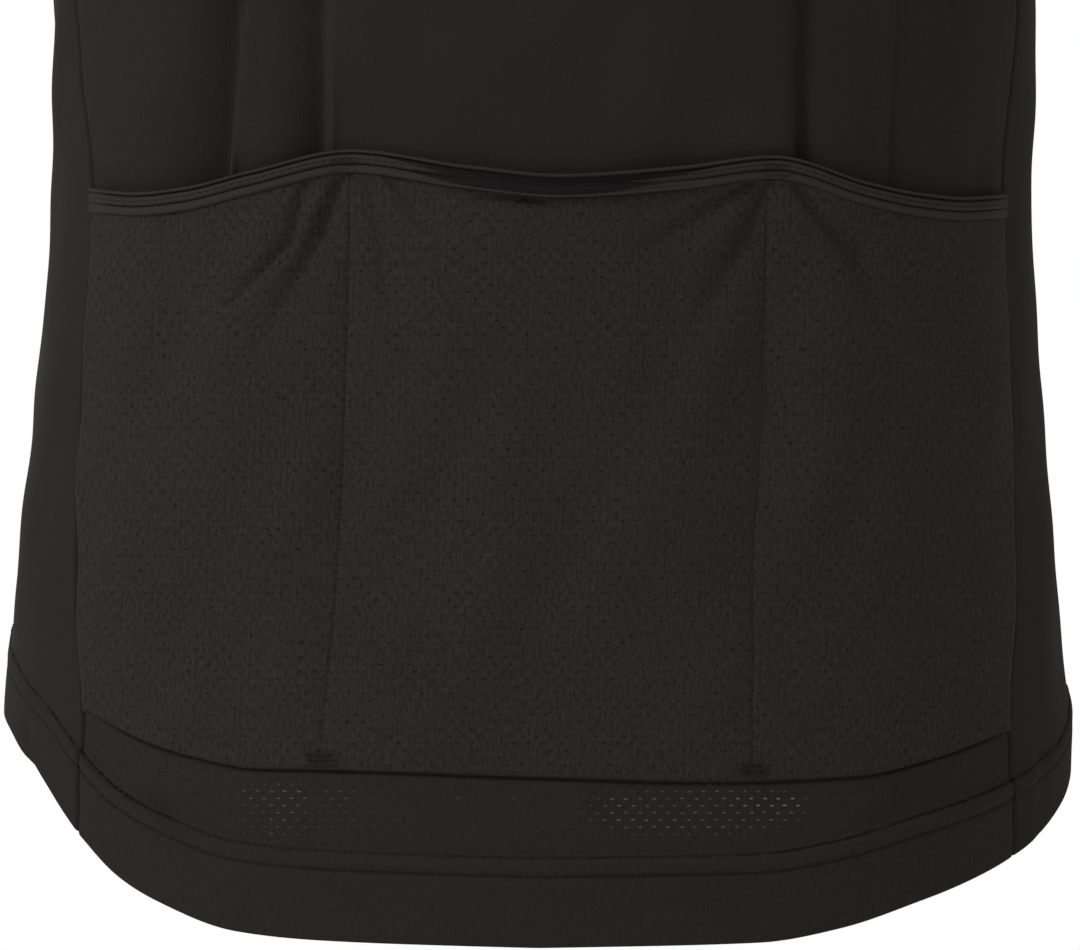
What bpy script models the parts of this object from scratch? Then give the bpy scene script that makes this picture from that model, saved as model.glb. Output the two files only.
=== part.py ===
# Cycling jersey, filled out as it is worn, with no wearer.
# Metres, +Z up. The back faces +Y, the zip faces -Y and +X is the wearer's left.
# Heights are measured from the high shoulder point, where z is 0 and the wearer holds the jersey up.
# Angles run round the body from the middle of the front, 0, by the wearer's left side, 90,
# to the middle of the back, 180.
import math

import bmesh
import bpy
import numpy as np

# Body of the jersey, from below the hem up: height, half width, front depth, back depth and the
# sideways lean of the ring's middle.
BODY_RINGS = (
    (-0.7600, 0.1800, 0.1150, 0.1185, 0.0004),
    (-0.7000, 0.1802, 0.1148, 0.1180, 0.0006),
    (-0.6450, 0.1793, 0.1142, 0.1150, 0.0009),
    (-0.6040, 0.1765, 0.1130, 0.1122, 0.0012),
    (-0.5370, 0.1705, 0.1110, 0.1080, 0.0004),
    (-0.4700, 0.1656, 0.1100, 0.1058, -0.0008),
    (-0.4030, 0.1660, 0.1110, 0.1070, -0.0015),
    (-0.3200, 0.1700, 0.1150, 0.1130, -0.0008),
    (-0.2350, 0.1780, 0.1180, 0.1180, 0.0),
    (-0.1400, 0.1910, 0.1100, 0.1130, 0.0),
    (-0.0850, 0.1975, 0.0960, 0.1025, 0.0),
    (-0.0580, 0.1925, 0.0845, 0.0940, 0.0),
    (-0.0400, 0.1760, 0.0740, 0.0860, 0.0),
    (-0.0250, 0.1430, 0.0630, 0.0780, 0.0),
    (-0.0120, 0.1080, 0.0500, 0.0700, 0.0),
    (0.0000, 0.0780, 0.0360, 0.0600, 0.0),
    (0.0200, 0.0400, 0.0150, 0.0400, 0.0),
)
# Hem, by the angle round the body: angle, height on the wearer's left and on the right. The left
# side of the hem is drawn up further than the right.
HEM_LINE = (
    (0.0, -0.6080, -0.6080),
    (30.0, -0.6110, -0.6140),
    (60.0, -0.6220, -0.6320),
    (90.0, -0.6410, -0.6580),
    (100.0, -0.6490, -0.6710),
    (113.0, -0.6640, -0.6840),
    (123.0, -0.6820, -0.6930),
    (131.0, -0.6965, -0.6996),
    (138.0, -0.7050, -0.7050),
    (149.0, -0.7146, -0.7136),
    (159.0, -0.7175, -0.7183),
    (180.0, -0.7200, -0.7200),
)
# Armhole: an oval round the shoulder's point, from the underarm up to the shoulder seam.
ARMHOLE = {"middle": -0.1415, "half_height": 0.0935, "half_angle": 30.0, "seam_turn": 28.0}
SEAM_TURN = math.radians(ARMHOLE["seam_turn"])
UNDERARM = ARMHOLE["middle"] - ARMHOLE["half_height"] * math.cos(SEAM_TURN)
SHOULDER_TIP = ARMHOLE["middle"] + ARMHOLE["half_height"]
SEAM_SWING = ARMHOLE["half_angle"] * math.sin(SEAM_TURN)
# Seams of the side panels, from the hem up: height, angle of the back seam, angle of the front seam.
SIDE_SEAMS = (
    (-0.7200, 121.0, 62.0),
    (-0.6830, 121.3, 62.0),
    (-0.6450, 122.3, 62.5),
    (-0.6080, 119.3, 63.0),
    (-0.5600, 116.9, 64.0),
    (-0.5070, 114.9, 65.0),
    (-0.4650, 114.5, 66.0),
    (-0.4030, 108.5, 68.0),
    (-0.3200, 105.5, 72.0),
    (UNDERARM, 90.0 + SEAM_SWING, 90.0 - SEAM_SWING),
)
# Bottom seam of the pockets, from the wearer's right to the left: distance across, height.
POCKET_FOOT = (
    (-0.1570, -0.6476),
    (-0.1310, -0.6570),
    (-0.1070, -0.6624),
    (-0.0580, -0.6644),
    (0.0000, -0.6628),
    (0.0720, -0.6604),
    (0.0960, -0.6600),
    (0.1140, -0.6567),
    (0.1300, -0.6520),
    (0.1510, -0.6413),
)
# Top edge of the elastic binding, from the wearer's right to the left. It peaks where the pockets'
# dividers hold it and sags between them.
POCKET_MOUTH = (
    (-0.1560, -0.4670),
    (-0.1390, -0.4681),
    (-0.1240, -0.4667),
    (-0.1085, -0.4634),
    (-0.0777, -0.4544),
    (-0.0469, -0.4580),
    (-0.0067, -0.4607),
    (0.0245, -0.4577),
    (0.0633, -0.4524),
    (0.0951, -0.4594),
    (0.1176, -0.4651),
    (0.1330, -0.4666),
    (0.1500, -0.4651),
)
# Stitched dividers between the pockets: height, distance across on the wearer's left and right.
# Above the pockets the same two lines lead the cloth's columns up to the neck.
DIVIDERS = (
    (-0.7200, 0.0760, 0.0710),
    (-0.6600, 0.0737, 0.0709),
    (-0.6000, 0.0680, 0.0712),
    (-0.5500, 0.0664, 0.0737),
    (-0.4600, 0.0635, 0.0762),
    (UNDERARM, 0.0850, 0.0850),
)

ROUNDNESS = 2.3             # power of the oval that each level of the body is
CHEST_MIDDLE = -0.25        # height that the upper panels' patches are laid out from
CLOTH = 0.0012              # wall of one cloth
SEAM_GAP = 0.0003
BAND_WIDTH = 0.0080
BAND_WALL = 0.0020
HEM_DEPTH = 0.0220          # cloth turned up at the hem
HEM_WALL = 0.0021
HEM_STEP = 0.0025           # run over which the turned-up cloth ends
POCKET_FULLNESS = 0.0102    # how far a pocket stands out between its dividers
DIVIDER_SHARE = 0.4545      # place of the dividers across half of the back
ZIP_HALF = 0.0037
ZIP_WALL = 0.0014
ZIP_EDGE = ZIP_HALF + SEAM_GAP
NECK = {"half_width": 0.078, "half_depth": 0.078, "forward": 0.012}
NECK_SEAM = 180.0 - math.degrees(math.acos(NECK["forward"] / NECK["half_depth"]))
NECK_ZIP = math.degrees(math.asin(ZIP_EDGE / NECK["half_width"]))
COLLAR = {"height": 0.040, "taper": 0.95, "forward": 0.006, "wall": 0.0016}
SLEEVE = {
    "cuff_out": 0.303, "cuff_height": -0.2865, "cuff_forward": 0.012, "cuff_radius": 0.055,
    "slant": 35.0, "top_droop": 25.0, "under_droop": 45.0, "hem": 0.020,
}
STEPS = (0.0, 0.11, 0.225, 0.34, DIVIDER_SHARE, 0.57, 0.68, 0.79, 0.9, 1.0)
SIDE_STEPS = 4
POCKET_ROWS = 7
UPPER_ROWS = 6
ARM_ROWS = 8
SLEEVE_ROWS = 6
COLLAR_ROWS = 3
SIDES = {"left": 1, "right": -1}

# The slider's sizes run along the zip, except its width and what stands out.
SLIDER = {
    "width": 0.0064, "length": 0.0100, "plate": 0.0010, "clear": 0.0003, "bridge": 0.0018,
    "below_top": 0.0010, "axis_below": 0.0062, "axis_out": 0.0021,
    "arch_reach": 0.0022, "arch_rise": 0.0008, "arch": 0.0008, "arch_half": 0.0005, "sink": 0.0004,
}
PULL = {
    "half_width": 0.0026, "eye_half": 0.0012, "rim": 0.0008, "wall": 0.0008,
    "eye_end": 0.0042, "neck": 0.0060, "shoulder": 0.0190, "end": 0.0215, "end_half": 0.0017,
}
BOX = {"half_width": 0.0033, "height": 0.0090, "wall": 0.0026}

COLOURS = {
    "back_knit": ((0.0205, 0.0185, 0.0177), 0.92),
    "mesh_knit": ((0.0242, 0.0222, 0.0212), 0.95),
    "elastic": ((0.0180, 0.0165, 0.0160), 0.80),
    "side_knit": ((0.0262, 0.0242, 0.0212), 0.90),
    "zip_tape": ((0.0100, 0.0100, 0.0100), 0.60),
    "zip_metal": ((0.0210, 0.0210, 0.0220), 0.38),
}


def smooth(table, column, at):
    # a cubic through the table's rows that never swings past them
    knots = np.array([row[0] for row in table])
    values = np.array([row[column] for row in table])
    steps = np.diff(knots)
    slopes = np.diff(values) / steps
    product = slopes[:-1] * slopes[1:]
    total = slopes[:-1] + slopes[1:]
    same_way = product > 0.0
    inner = np.where(same_way, 2.0 * product / np.where(same_way, total, 1.0), 0.0)
    bends = np.concatenate(([slopes[0]], inner, [slopes[-1]]))
    at = np.clip(at, knots[0], knots[-1])
    first = np.clip(np.searchsorted(knots, at) - 1, 0, len(steps) - 1)
    share = (at - knots[first]) / steps[first]
    rest = 1.0 - share
    start = values[first] * (1.0 + 2.0 * share) * rest ** 2
    end = values[first + 1] * share ** 2 * (3.0 - 2.0 * share)
    lean = steps[first] * share * rest * (bends[first] * rest - bends[first + 1] * share)
    return start + end + lean


def oval_power(value):
    return np.sign(value) * np.abs(value) ** (2.0 / ROUNDNESS)


def body(around, height):
    # point of the body's surface at an angle in degrees and a height
    turn = np.radians(around)
    half = smooth(BODY_RINGS, 1, height)
    front = smooth(BODY_RINGS, 2, height)
    back = smooth(BODY_RINGS, 3, height)
    lean = smooth(BODY_RINGS, 4, height)
    depth = np.where(np.cos(turn) > 0.0, front, back)
    across = lean + half * oval_power(np.sin(turn))
    return np.stack((across, -depth * oval_power(np.cos(turn)), height + 0.0 * turn), axis=-1)


def unit(vectors):
    return vectors / np.linalg.norm(vectors, axis=-1, keepdims=True)


def body_normal(around, height):
    # outward normal, from the two ways along the surface
    sideways = body(around + 0.5, height) - body(around - 0.5, height)
    upwards = body(around, height + 0.001) - body(around, height - 0.001)
    return unit(np.cross(sideways, upwards))


def angle_across(across, height):
    # angle on the back of the body at a distance across
    half = smooth(BODY_RINGS, 1, height)
    share = (across - smooth(BODY_RINGS, 4, height)) / half
    return 180.0 - np.degrees(np.arcsin(np.sign(share) * np.abs(share) ** (ROUNDNESS / 2.0)))


def zip_angle(height):
    # angle of the front edge beside the zip
    half = smooth(BODY_RINGS, 1, height)
    return np.degrees(np.arcsin((ZIP_EDGE / half) ** (ROUNDNESS / 2.0)))


def hem_height(around, side):
    return smooth(HEM_LINE, 1 if side > 0 else 2, around)


def neckline(direction):
    # angle round the body and height where its surface meets the neck, found by halving; the
    # direction runs round the neck, from the front at 0 degrees to the back at 180
    turn = np.radians(direction)
    across = NECK["half_width"] * np.sin(turn)
    ahead = -NECK["forward"] - NECK["half_depth"] * np.cos(turn)
    low = np.full(np.shape(direction), -0.12)
    high = np.full(np.shape(direction), 0.012)
    for _ in range(40):
        middle = 0.5 * (low + high)
        half = smooth(BODY_RINGS, 1, middle)
        depth = smooth(BODY_RINGS, 2, middle)
        depth = np.where(ahead > 0.0, smooth(BODY_RINGS, 3, middle), depth)
        reach = np.abs(across / half) ** ROUNDNESS + np.abs(ahead / depth) ** ROUNDNESS
        low = np.where(reach > 1.0, low, middle)
        high = np.where(reach > 1.0, middle, high)
    share = np.clip(across / smooth(BODY_RINGS, 1, low), -1.0, 1.0)
    around = np.degrees(np.arcsin(np.sign(share) * np.abs(share) ** (ROUNDNESS / 2.0)))
    return np.where(ahead > 0.0, 180.0 - around, around), low


def armhole(turn, way):
    # angle round the body and height, for a turn in radians from the underarm up to the shoulder
    around = 90.0 + way * ARMHOLE["half_angle"] * np.sin(turn)
    return around, ARMHOLE["middle"] - ARMHOLE["half_height"] * np.cos(turn)


POCKET_START = 3
BAND_START = POCKET_START + POCKET_ROWS
BAND_END = BAND_START + 1
LEVELS = BAND_END + UPPER_ROWS + 1


def back_heights(across):
    # heights of every level of the back at a distance across
    rough = angle_across(across, -0.70)
    hem = np.where(across > 0.0, hem_height(rough, 1), hem_height(360.0 - rough, -1))
    foot = smooth(POCKET_FOOT, 1, across)
    mouth = smooth(POCKET_MOUTH, 1, across)
    rows = [hem, hem + HEM_DEPTH, hem + HEM_DEPTH + HEM_STEP]
    for step in range(POCKET_ROWS + 1):
        rows.append(foot + (mouth - BAND_WIDTH - foot) * step / POCKET_ROWS)
    rows.append(mouth)
    for step in range(1, UPPER_ROWS + 1):
        rows.append(mouth + (UNDERARM - mouth) * step / UPPER_ROWS)
    return np.array(rows)


def back_across(step, height):
    # distance across for a step from -1 on the wearer's right seam to 1 on the left seam
    seam = smooth(SIDE_SEAMS, 1, height)
    right = body(360.0 - seam, height)[..., 0]
    left = body(seam, height)[..., 0]
    left_divider = smooth(DIVIDERS, 1, height)
    right_divider = -smooth(DIVIDERS, 2, height)
    knots = (-1.0, -DIVIDER_SHARE, DIVIDER_SHARE, 1.0)
    places = (right, right_divider, left_divider, left)
    result = places[0]
    for index in range(3):
        share = np.clip((step - knots[index]) / (knots[index + 1] - knots[index]), 0.0, 1.0)
        result = result + share * (places[index + 1] - places[index])
    return result


def coons(foot, top, start, end):
    # grid of points filled in between four edges: rows rise from foot to top
    rise = np.linspace(0.0, 1.0, len(start))[:, None, None]
    run = np.linspace(0.0, 1.0, len(foot))[None, :, None]
    between_rows = (1.0 - rise) * foot[None] + rise * top[None]
    between_ends = (1.0 - run) * start[:, None] + run * end[:, None]
    low = (1.0 - run) * foot[0] + run * foot[-1]
    high = (1.0 - run) * top[0] + run * top[-1]
    return between_rows + between_ends - (1.0 - rise) * low - rise * high


def onto_body(points):
    # angles and heights where rays from the middle of the chest through the points meet the body
    middle = np.array((0.0, 0.0, CHEST_MIDDLE))
    short = np.full(points.shape[:-1], 0.5)
    long = np.full(points.shape[:-1], 1.6)
    for _ in range(40):
        share = 0.5 * (short + long)
        places = middle + (points - middle) * share[..., None]
        height = places[..., 2]
        across = places[..., 0] - smooth(BODY_RINGS, 4, height)
        depth = smooth(BODY_RINGS, 2, height)
        depth = np.where(places[..., 1] > 0.0, smooth(BODY_RINGS, 3, height), depth)
        out = np.abs(across / smooth(BODY_RINGS, 1, height)) ** ROUNDNESS
        out = out + np.abs(places[..., 1] / depth) ** ROUNDNESS
        short = np.where(out > 1.0, short, share)
        long = np.where(out > 1.0, share, long)
    share = np.clip(across / smooth(BODY_RINGS, 1, height), -1.0, 1.0)
    around = np.degrees(np.arcsin(np.sign(share) * np.abs(share) ** (ROUNDNESS / 2.0)))
    around = np.where(places[..., 1] > 0.0, 180.0 - around, around)
    return np.stack((around, height), axis=-1)


def upper_grid(foot, top, start, end):
    # upper part of a panel: a patch between its four edges, laid onto the body's surface
    edges = [body(edge[:, 0], edge[:, 1]) for edge in (foot, top, start, end)]
    grid = onto_body(coons(*edges))
    grid[0], grid[-1], grid[:, 0], grid[:, -1] = foot, top, start, end
    return grid


def arm_turns():
    return np.linspace(SEAM_TURN, math.pi, ARM_ROWS + 1)


def shoulder_to_neck(steps):
    # heights along the shoulder seam, from its tip to the neck
    neck_point = float(neckline(np.array(NECK_SEAM))[1])
    share = (1.0 - steps) / (1.0 - DIVIDER_SHARE)
    return SHOULDER_TIP + (neck_point - SHOULDER_TIP) * share


def back_grid():
    # angles and heights of the back, hem first, from the wearer's right to the left
    steps = np.array([-step for step in reversed(STEPS[1:])] + list(STEPS))
    heights = np.full((LEVELS, len(steps)), -0.60)
    for _ in range(4):
        across = back_across(steps[None, :] + 0.0 * heights, heights)
        heights = np.stack([back_heights(row)[level] for level, row in enumerate(across)])
    lower = np.stack((angle_across(across, heights), heights), axis=-1)
    arm_angle, arm_height = armhole(arm_turns(), 1)
    start = np.stack((360.0 - arm_angle, arm_height), axis=-1)
    end = np.stack((arm_angle, arm_height), axis=-1)
    directions = 180.0 - (180.0 - NECK_SEAM) * np.clip(steps / DIVIDER_SHARE, -1.0, 1.0)
    neck_angle, high = neckline(directions)
    high = np.where(np.abs(steps) > DIVIDER_SHARE, shoulder_to_neck(np.abs(steps)), high)
    upper = upper_grid(lower[-1], np.stack((neck_angle, high), axis=-1), start, end)
    return np.concatenate((lower, upper[1:]))


def back_seam(back, side):
    # the back's side seam, as angles on the wearer's left
    return back[:, -1] if side > 0 else mirror_angles(back[:, 0])


def side_shares(seam):
    # where each level above the turned-up hem lies between it and the underarm
    return (seam[2:LEVELS, 1] - seam[2, 1]) / (seam[LEVELS - 1, 1] - seam[2, 1])


def level_heights(angles, tops, shares, side):
    # heights of every level over a grid of angles whose rows are the levels
    rows = [hem_height(angles[0], side), hem_height(angles[1], side) + HEM_DEPTH]
    fold = hem_height(angles[2], side) + HEM_DEPTH + HEM_STEP
    for share in shares:
        rows.append(fold + share * (tops - fold))
    return np.stack(rows)


def side_grid(seam, side):
    # side panel, from the front seam to the back seam; its top is the underarm
    shares = side_shares(seam)
    front = np.array([smooth(SIDE_SEAMS, 2, height) for height in seam[:LEVELS, 1]])
    run = np.linspace(0.0, 1.0, SIDE_STEPS + 1)
    for _ in range(3):
        angles = front[:, None] + (seam[:LEVELS, 0] - front)[:, None] * run
        turn = np.arcsin(np.clip((angles[-1] - 90.0) / ARMHOLE["half_angle"], -1.0, 1.0))
        tops = ARMHOLE["middle"] - ARMHOLE["half_height"] * np.cos(turn)
        heights = level_heights(angles, tops, shares, side)
        front = smooth(SIDE_SEAMS, 2, heights[:, 0])
    return np.stack((angles, heights), axis=-1)


def front_grid(seam, side):
    # front, from the zip to the side seam, hem first
    shares = side_shares(seam)
    steps = np.array(STEPS)
    heights = np.repeat(seam[:, 1][:, None], len(steps), axis=1)
    for _ in range(3):
        start = zip_angle(heights[:, 0])
        angles = start[:, None] + (seam[:, 0] - start)[:, None] * steps
        tops = np.full(len(steps), UNDERARM)
        heights = level_heights(angles, tops, shares, side)
    lower = np.stack((angles, heights), axis=-1)
    arm_angle, arm_height = armhole(arm_turns(), -1)
    end = np.stack((arm_angle, arm_height), axis=-1)
    turn = np.clip(steps / DIVIDER_SHARE, 0.0, 1.0)
    neck_angle, high = neckline(NECK_ZIP + (NECK_SEAM - NECK_ZIP) * turn)
    zip_heights = np.linspace(UNDERARM, high[0], ARM_ROWS + 1)
    start = np.stack((zip_angle(zip_heights), zip_heights), axis=-1)
    high = np.where(steps > DIVIDER_SHARE, shoulder_to_neck(steps), high)
    upper = upper_grid(lower[-1], np.stack((neck_angle, high), axis=-1), start, end)
    return np.concatenate((lower, upper[1:]))


def mirror_angles(grid):
    return np.stack((360.0 - grid[..., 0], grid[..., 1]), axis=-1)


def surface(grid):
    points = body(grid[..., 0], grid[..., 1])
    return points, body_normal(grid[..., 0], grid[..., 1])


def draw_in(points, normals, edges):
    # pull the named edges back by half of the gap that a seam keeps
    points = points.copy()
    half = 0.5 * SEAM_GAP
    if "start" in edges:
        points[:, 0] += half * unit(points[:, 1] - points[:, 0])
    if "end" in edges:
        points[:, -1] += half * unit(points[:, -2] - points[:, -1])
    if "foot" in edges:
        points[0] += half * unit(points[1] - points[0])
    if "top" in edges:
        points[-1] += half * unit(points[-2] - points[-1])
    return points, normals


def grid_normals(points, ring):
    # outward normals of a grid of points whose columns run the body's way round
    if ring:
        wide = np.concatenate((points[:, -1:], points, points[:, :1]), axis=1)
        sideways = wide[:, 2:] - wide[:, :-2]
    else:
        sideways = np.gradient(points, axis=1)
    return unit(np.cross(sideways, np.gradient(points, axis=0)))


def material(name):
    colour, roughness = COLOURS[name]
    made = bpy.data.materials.new(name)
    made.use_nodes = True
    surface_node = made.node_tree.nodes["Principled BSDF"]
    surface_node.inputs["Base Color"].default_value = (*colour, 1.0)
    surface_node.inputs["Roughness"].default_value = roughness
    surface_node.inputs["Metallic"].default_value = 0.8 if name == "zip_metal" else 0.0
    return made


def add_object(name, mesh, cloth):
    made = bpy.data.objects.new(name, mesh)
    made.data.materials.append(cloth)
    bpy.context.scene.collection.objects.link(made)
    return made


def add_wall(name, points, normals, wall, cloth, ring=False):
    # closed wall: the grid of points outside, the same grid moved in by the wall, and rims between
    inner = points - normals * (wall if np.isscalar(wall) else np.asarray(wall)[..., None])
    rows, columns = points.shape[:2]
    mesh = bmesh.new()
    outside = [[mesh.verts.new(point) for point in row] for row in points]
    inside = [[mesh.verts.new(point) for point in row] for row in inner]
    spans = [(column, (column + 1) % columns) for column in range(columns if ring else columns - 1)]
    for row in range(rows - 1):
        for left, right in spans:
            low, high = outside[row], outside[row + 1]
            mesh.faces.new((low[left], low[right], high[right], high[left]))
            low, high = inside[row], inside[row + 1]
            mesh.faces.new((low[right], low[left], high[left], high[right]))
    for left, right in spans:
        mesh.faces.new((outside[0][right], outside[0][left], inside[0][left], inside[0][right]))
        mesh.faces.new((outside[-1][left], outside[-1][right], inside[-1][right], inside[-1][left]))
    if not ring:
        for row in range(rows - 1):
            low, high = outside[row], outside[row + 1]
            mesh.faces.new((low[0], high[0], inside[row + 1][0], inside[row][0]))
            mesh.faces.new((high[-1], low[-1], inside[row][-1], inside[row + 1][-1]))
    bmesh.ops.recalc_face_normals(mesh, faces=mesh.faces)
    data = bpy.data.meshes.new(name)
    mesh.to_mesh(data)
    mesh.free()
    return add_object(name, data, cloth)


def hem_walls(rows, columns):
    # wall of each row of a body panel: thicker where the hem is turned up
    walls = np.full((rows, columns), CLOTH)
    walls[:2] = HEM_WALL
    return walls


def add_panels(back, cloths):
    points, normals = draw_in(*surface(back), ("start", "end", "top"))
    add_wall("back_panel", points, normals, hem_walls(*back.shape[:2]), cloths["back_knit"])
    for word, side in SIDES.items():
        under_arm = side_grid(back_seam(back, side), side)
        front = front_grid(under_arm[:, 0], side)
        front_edges = ("end", "top")
        if side < 0:
            under_arm = mirror_angles(under_arm)[:, ::-1]
            front = mirror_angles(front)[:, ::-1]
            front_edges = ("start", "top")
        points, normals = draw_in(*surface(under_arm), ("start", "end", "top"))
        walls = hem_walls(*under_arm.shape[:2])
        add_wall("side_panel_" + word, points, normals, walls, cloths["side_knit"])
        points, normals = draw_in(*surface(front), front_edges)
        add_wall("front_" + word, points, normals, hem_walls(*front.shape[:2]), cloths["back_knit"])


def pocket_lift(back, first, last):
    # how far the pockets' outer face stands off the back: tacked down at both sides, at the
    # dividers and along the foot, full between them
    columns = back.shape[1]
    steps = np.array([-step for step in reversed(STEPS[1:])] + list(STEPS))
    size = np.abs(steps)
    middle = np.cos(0.5 * math.pi * size / DIVIDER_SHARE)
    outer = np.sin(math.pi * (size - DIVIDER_SHARE) / (1.0 - DIVIDER_SHARE))
    wave = np.where(size > DIVIDER_SHARE, outer, middle)
    wave = np.clip(wave, 0.0, 1.0) ** 0.6
    rise = (np.arange(first, last + 1) - POCKET_START) / (BAND_END - POCKET_START)
    rise = np.clip(rise * 3.2, 0.0, 1.0) ** 0.6
    return SEAM_GAP + POCKET_FULLNESS * rise[:, None] * wave[None, :columns]


def add_pockets(back, cloths):
    # the mesh panel and its binding are the back's own points, moved out
    pieces = (
        ("pocket_panel", POCKET_START, BAND_START, CLOTH, "mesh_knit", ("start", "end", "top")),
        ("pocket_band", BAND_START, BAND_END, BAND_WALL, "elastic", ("start", "end", "foot")),
    )
    for name, first, last, wall, cloth, edges in pieces:
        grid = back[first:last + 1]
        points, normals = surface(grid)
        points = points + normals * (pocket_lift(back, first, last) + wall)[..., None]
        points, normals = draw_in(points, normals, edges)
        add_wall(name, points, normals, wall, cloths[cloth])


def armhole_ring(back, side):
    # angles and heights round one armhole: underarm, back, shoulder, front
    under = side_grid(back_seam(back, side), side)[-1]
    behind = np.stack(armhole(arm_turns(), 1), axis=-1)
    before = np.stack(armhole(arm_turns(), -1), axis=-1)
    half = SIDE_STEPS // 2
    return np.concatenate((under[half:-1], behind[:-1], before[::-1], under[1:half]))


def add_sleeve(word, side, back, cloths):
    ring = armhole_ring(back, side)
    start = body(ring[:, 0], ring[:, 1])
    share = (ring[:, 1] - UNDERARM) / (SHOULDER_TIP - UNDERARM)
    cosine = np.clip((ARMHOLE["middle"] - ring[:, 1]) / ARMHOLE["half_height"], -1.0, 1.0)
    behind = np.sign(ring[:, 0] - 90.0) * np.sqrt(1.0 - cosine ** 2)
    slant = math.radians(SLEEVE["slant"])
    out = np.array((math.cos(slant), 0.0, math.sin(slant)))
    along = np.array((math.sin(slant), 0.0, -math.cos(slant)))
    centre = np.array((SLEEVE["cuff_out"], -SLEEVE["cuff_forward"], SLEEVE["cuff_height"]))
    end = centre - SLEEVE["cuff_radius"] * cosine[:, None] * out
    end[:, 1] += SLEEVE["cuff_radius"] * behind
    droop = SLEEVE["under_droop"] + (SLEEVE["top_droop"] - SLEEVE["under_droop"]) * np.clip(share, 0, 1)
    droop = np.radians(droop)
    leave = np.stack((np.cos(droop), 0.0 * droop, -np.sin(droop)), axis=-1)
    reach = np.linalg.norm(end - start, axis=1)[:, None]
    run = reach[:, 0].mean()
    places = np.concatenate((
        np.linspace(0.0, 1.0 - (SLEEVE["hem"] + HEM_STEP) / run, SLEEVE_ROWS),
        (1.0 - SLEEVE["hem"] / run, 1.0),
    ))
    t = places[:, None, None]
    points = (2.0 * t ** 3 - 3.0 * t ** 2 + 1.0) * start + (3.0 * t ** 2 - 2.0 * t ** 3) * end
    points = points + (t ** 3 - 2.0 * t ** 2 + t) * leave * reach + (t ** 3 - t ** 2) * along * reach
    if side < 0:
        points = (points * np.array((-1.0, 1.0, 1.0)))[:, ::-1]
    points, normals = draw_in(points, grid_normals(points, True), ("foot",))
    walls = np.full(points.shape[:2], CLOTH)
    walls[-2:] = HEM_WALL
    add_wall("sleeve_" + word, points, normals, walls, cloths["back_knit"], ring=True)


def collar_grid():
    # points of the collar, from the zip's left edge round the neck to its right edge
    steps = np.array([step / DIVIDER_SHARE for step in STEPS if step <= DIVIDER_SHARE])
    before = NECK_ZIP + (NECK_SEAM - NECK_ZIP) * steps
    behind = 180.0 - (180.0 - NECK_SEAM) * steps[::-1]
    left = np.concatenate((before, behind[1:]))
    base = body(*neckline(np.concatenate((left, 360.0 - left[-2::-1]))))
    top = base * np.array((COLLAR["taper"], COLLAR["taper"], 1.0))
    top = top + np.array((0.0, -COLLAR["forward"], COLLAR["height"]))
    share = np.linspace(0.0, 1.0, COLLAR_ROWS + 1)[:, None, None]
    points = (1.0 - share) * base + share * top
    points[:, 0, 0] = ZIP_EDGE
    points[:, -1, 0] = -ZIP_EDGE
    return points


def add_collar(points, cloths):
    # the ends beside the zip face straight ahead, so that their wall keeps its distance from it
    normals = grid_normals(points, False)
    for end in (0, -1):
        normals[:, end, 0] = 0.0
    points, normals = draw_in(points, unit(normals), ("foot",))
    add_wall("collar", points, normals, COLLAR["wall"], cloths["back_knit"])


def zip_frame(foot, top):
    # axes at a place on the front: across, up along the zip, and out from the cloth
    up = unit(top - foot)
    across = np.array((1.0, 0.0, 0.0))
    out = unit(np.cross(across, up))
    return across, up, out


def add_prism(name, outline, half_width, origin, axes, cloth):
    # outline of (up, out) points drawn across the zip
    across, up, out = axes
    mesh = bmesh.new()
    ends = []
    for reach in (-half_width, half_width):
        corners = [origin + across * reach + up * a + out * b for a, b in outline]
        ends.append([mesh.verts.new(corner) for corner in corners])
    mesh.faces.new(ends[0])
    mesh.faces.new(ends[1][::-1])
    for index in range(len(outline)):
        other = (index + 1) % len(outline)
        mesh.faces.new((ends[0][index], ends[1][index], ends[1][other], ends[0][other]))
    bmesh.ops.recalc_face_normals(mesh, faces=mesh.faces)
    data = bpy.data.meshes.new(name)
    mesh.to_mesh(data)
    mesh.free()
    return add_object(name, data, cloth)


def add_zip(front, collar, cloths):
    # tape and coil as one strip: up the fronts, between the collar's ends, to the slider
    heights = front[:, 0, 1].copy()
    hem = body(np.array(0.0), np.array(heights[0]))
    heights[0] += BOX["height"] + SEAM_GAP
    half = smooth(BODY_RINGS, 1, heights)
    edge = np.degrees(np.arcsin((ZIP_HALF / half) ** (ROUNDNESS / 2.0)))
    angles = np.stack((-edge, 0.0 * edge, edge), axis=1)
    lower = body(angles, np.repeat(heights[:, None], 3, axis=1))
    collar_top = collar[-1, 0] * np.array((0.0, 1.0, 1.0))
    axes = zip_frame(collar[0, 0], collar[-1, 0])
    stop = SLIDER["below_top"] + SLIDER["bridge"] + SLIDER["clear"]
    line = collar[1:, 0].copy()
    line[-1] -= axes[1] * stop
    upper = np.repeat(line[:, None], 3, axis=1)
    upper[..., 0] = np.array((-ZIP_HALF, 0.0, ZIP_HALF))
    points = np.concatenate((lower, upper))
    add_wall("zip", points, grid_normals(points, False), ZIP_WALL, cloths["zip_tape"])
    add_slider(collar_top, axes, cloths["zip_metal"])
    box_axes = zip_frame(hem, body(np.array(0.0), np.array(heights[1])))
    half_wall = 0.5 * BOX["wall"]
    middle = hem - box_axes[2] * 0.5 * ZIP_WALL
    outline = ((0.0, -half_wall), (0.0, half_wall), (BOX["height"], half_wall), (BOX["height"], -half_wall))
    add_prism("zip_box", outline, BOX["half_width"], middle, box_axes, cloths["zip_metal"])


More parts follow.
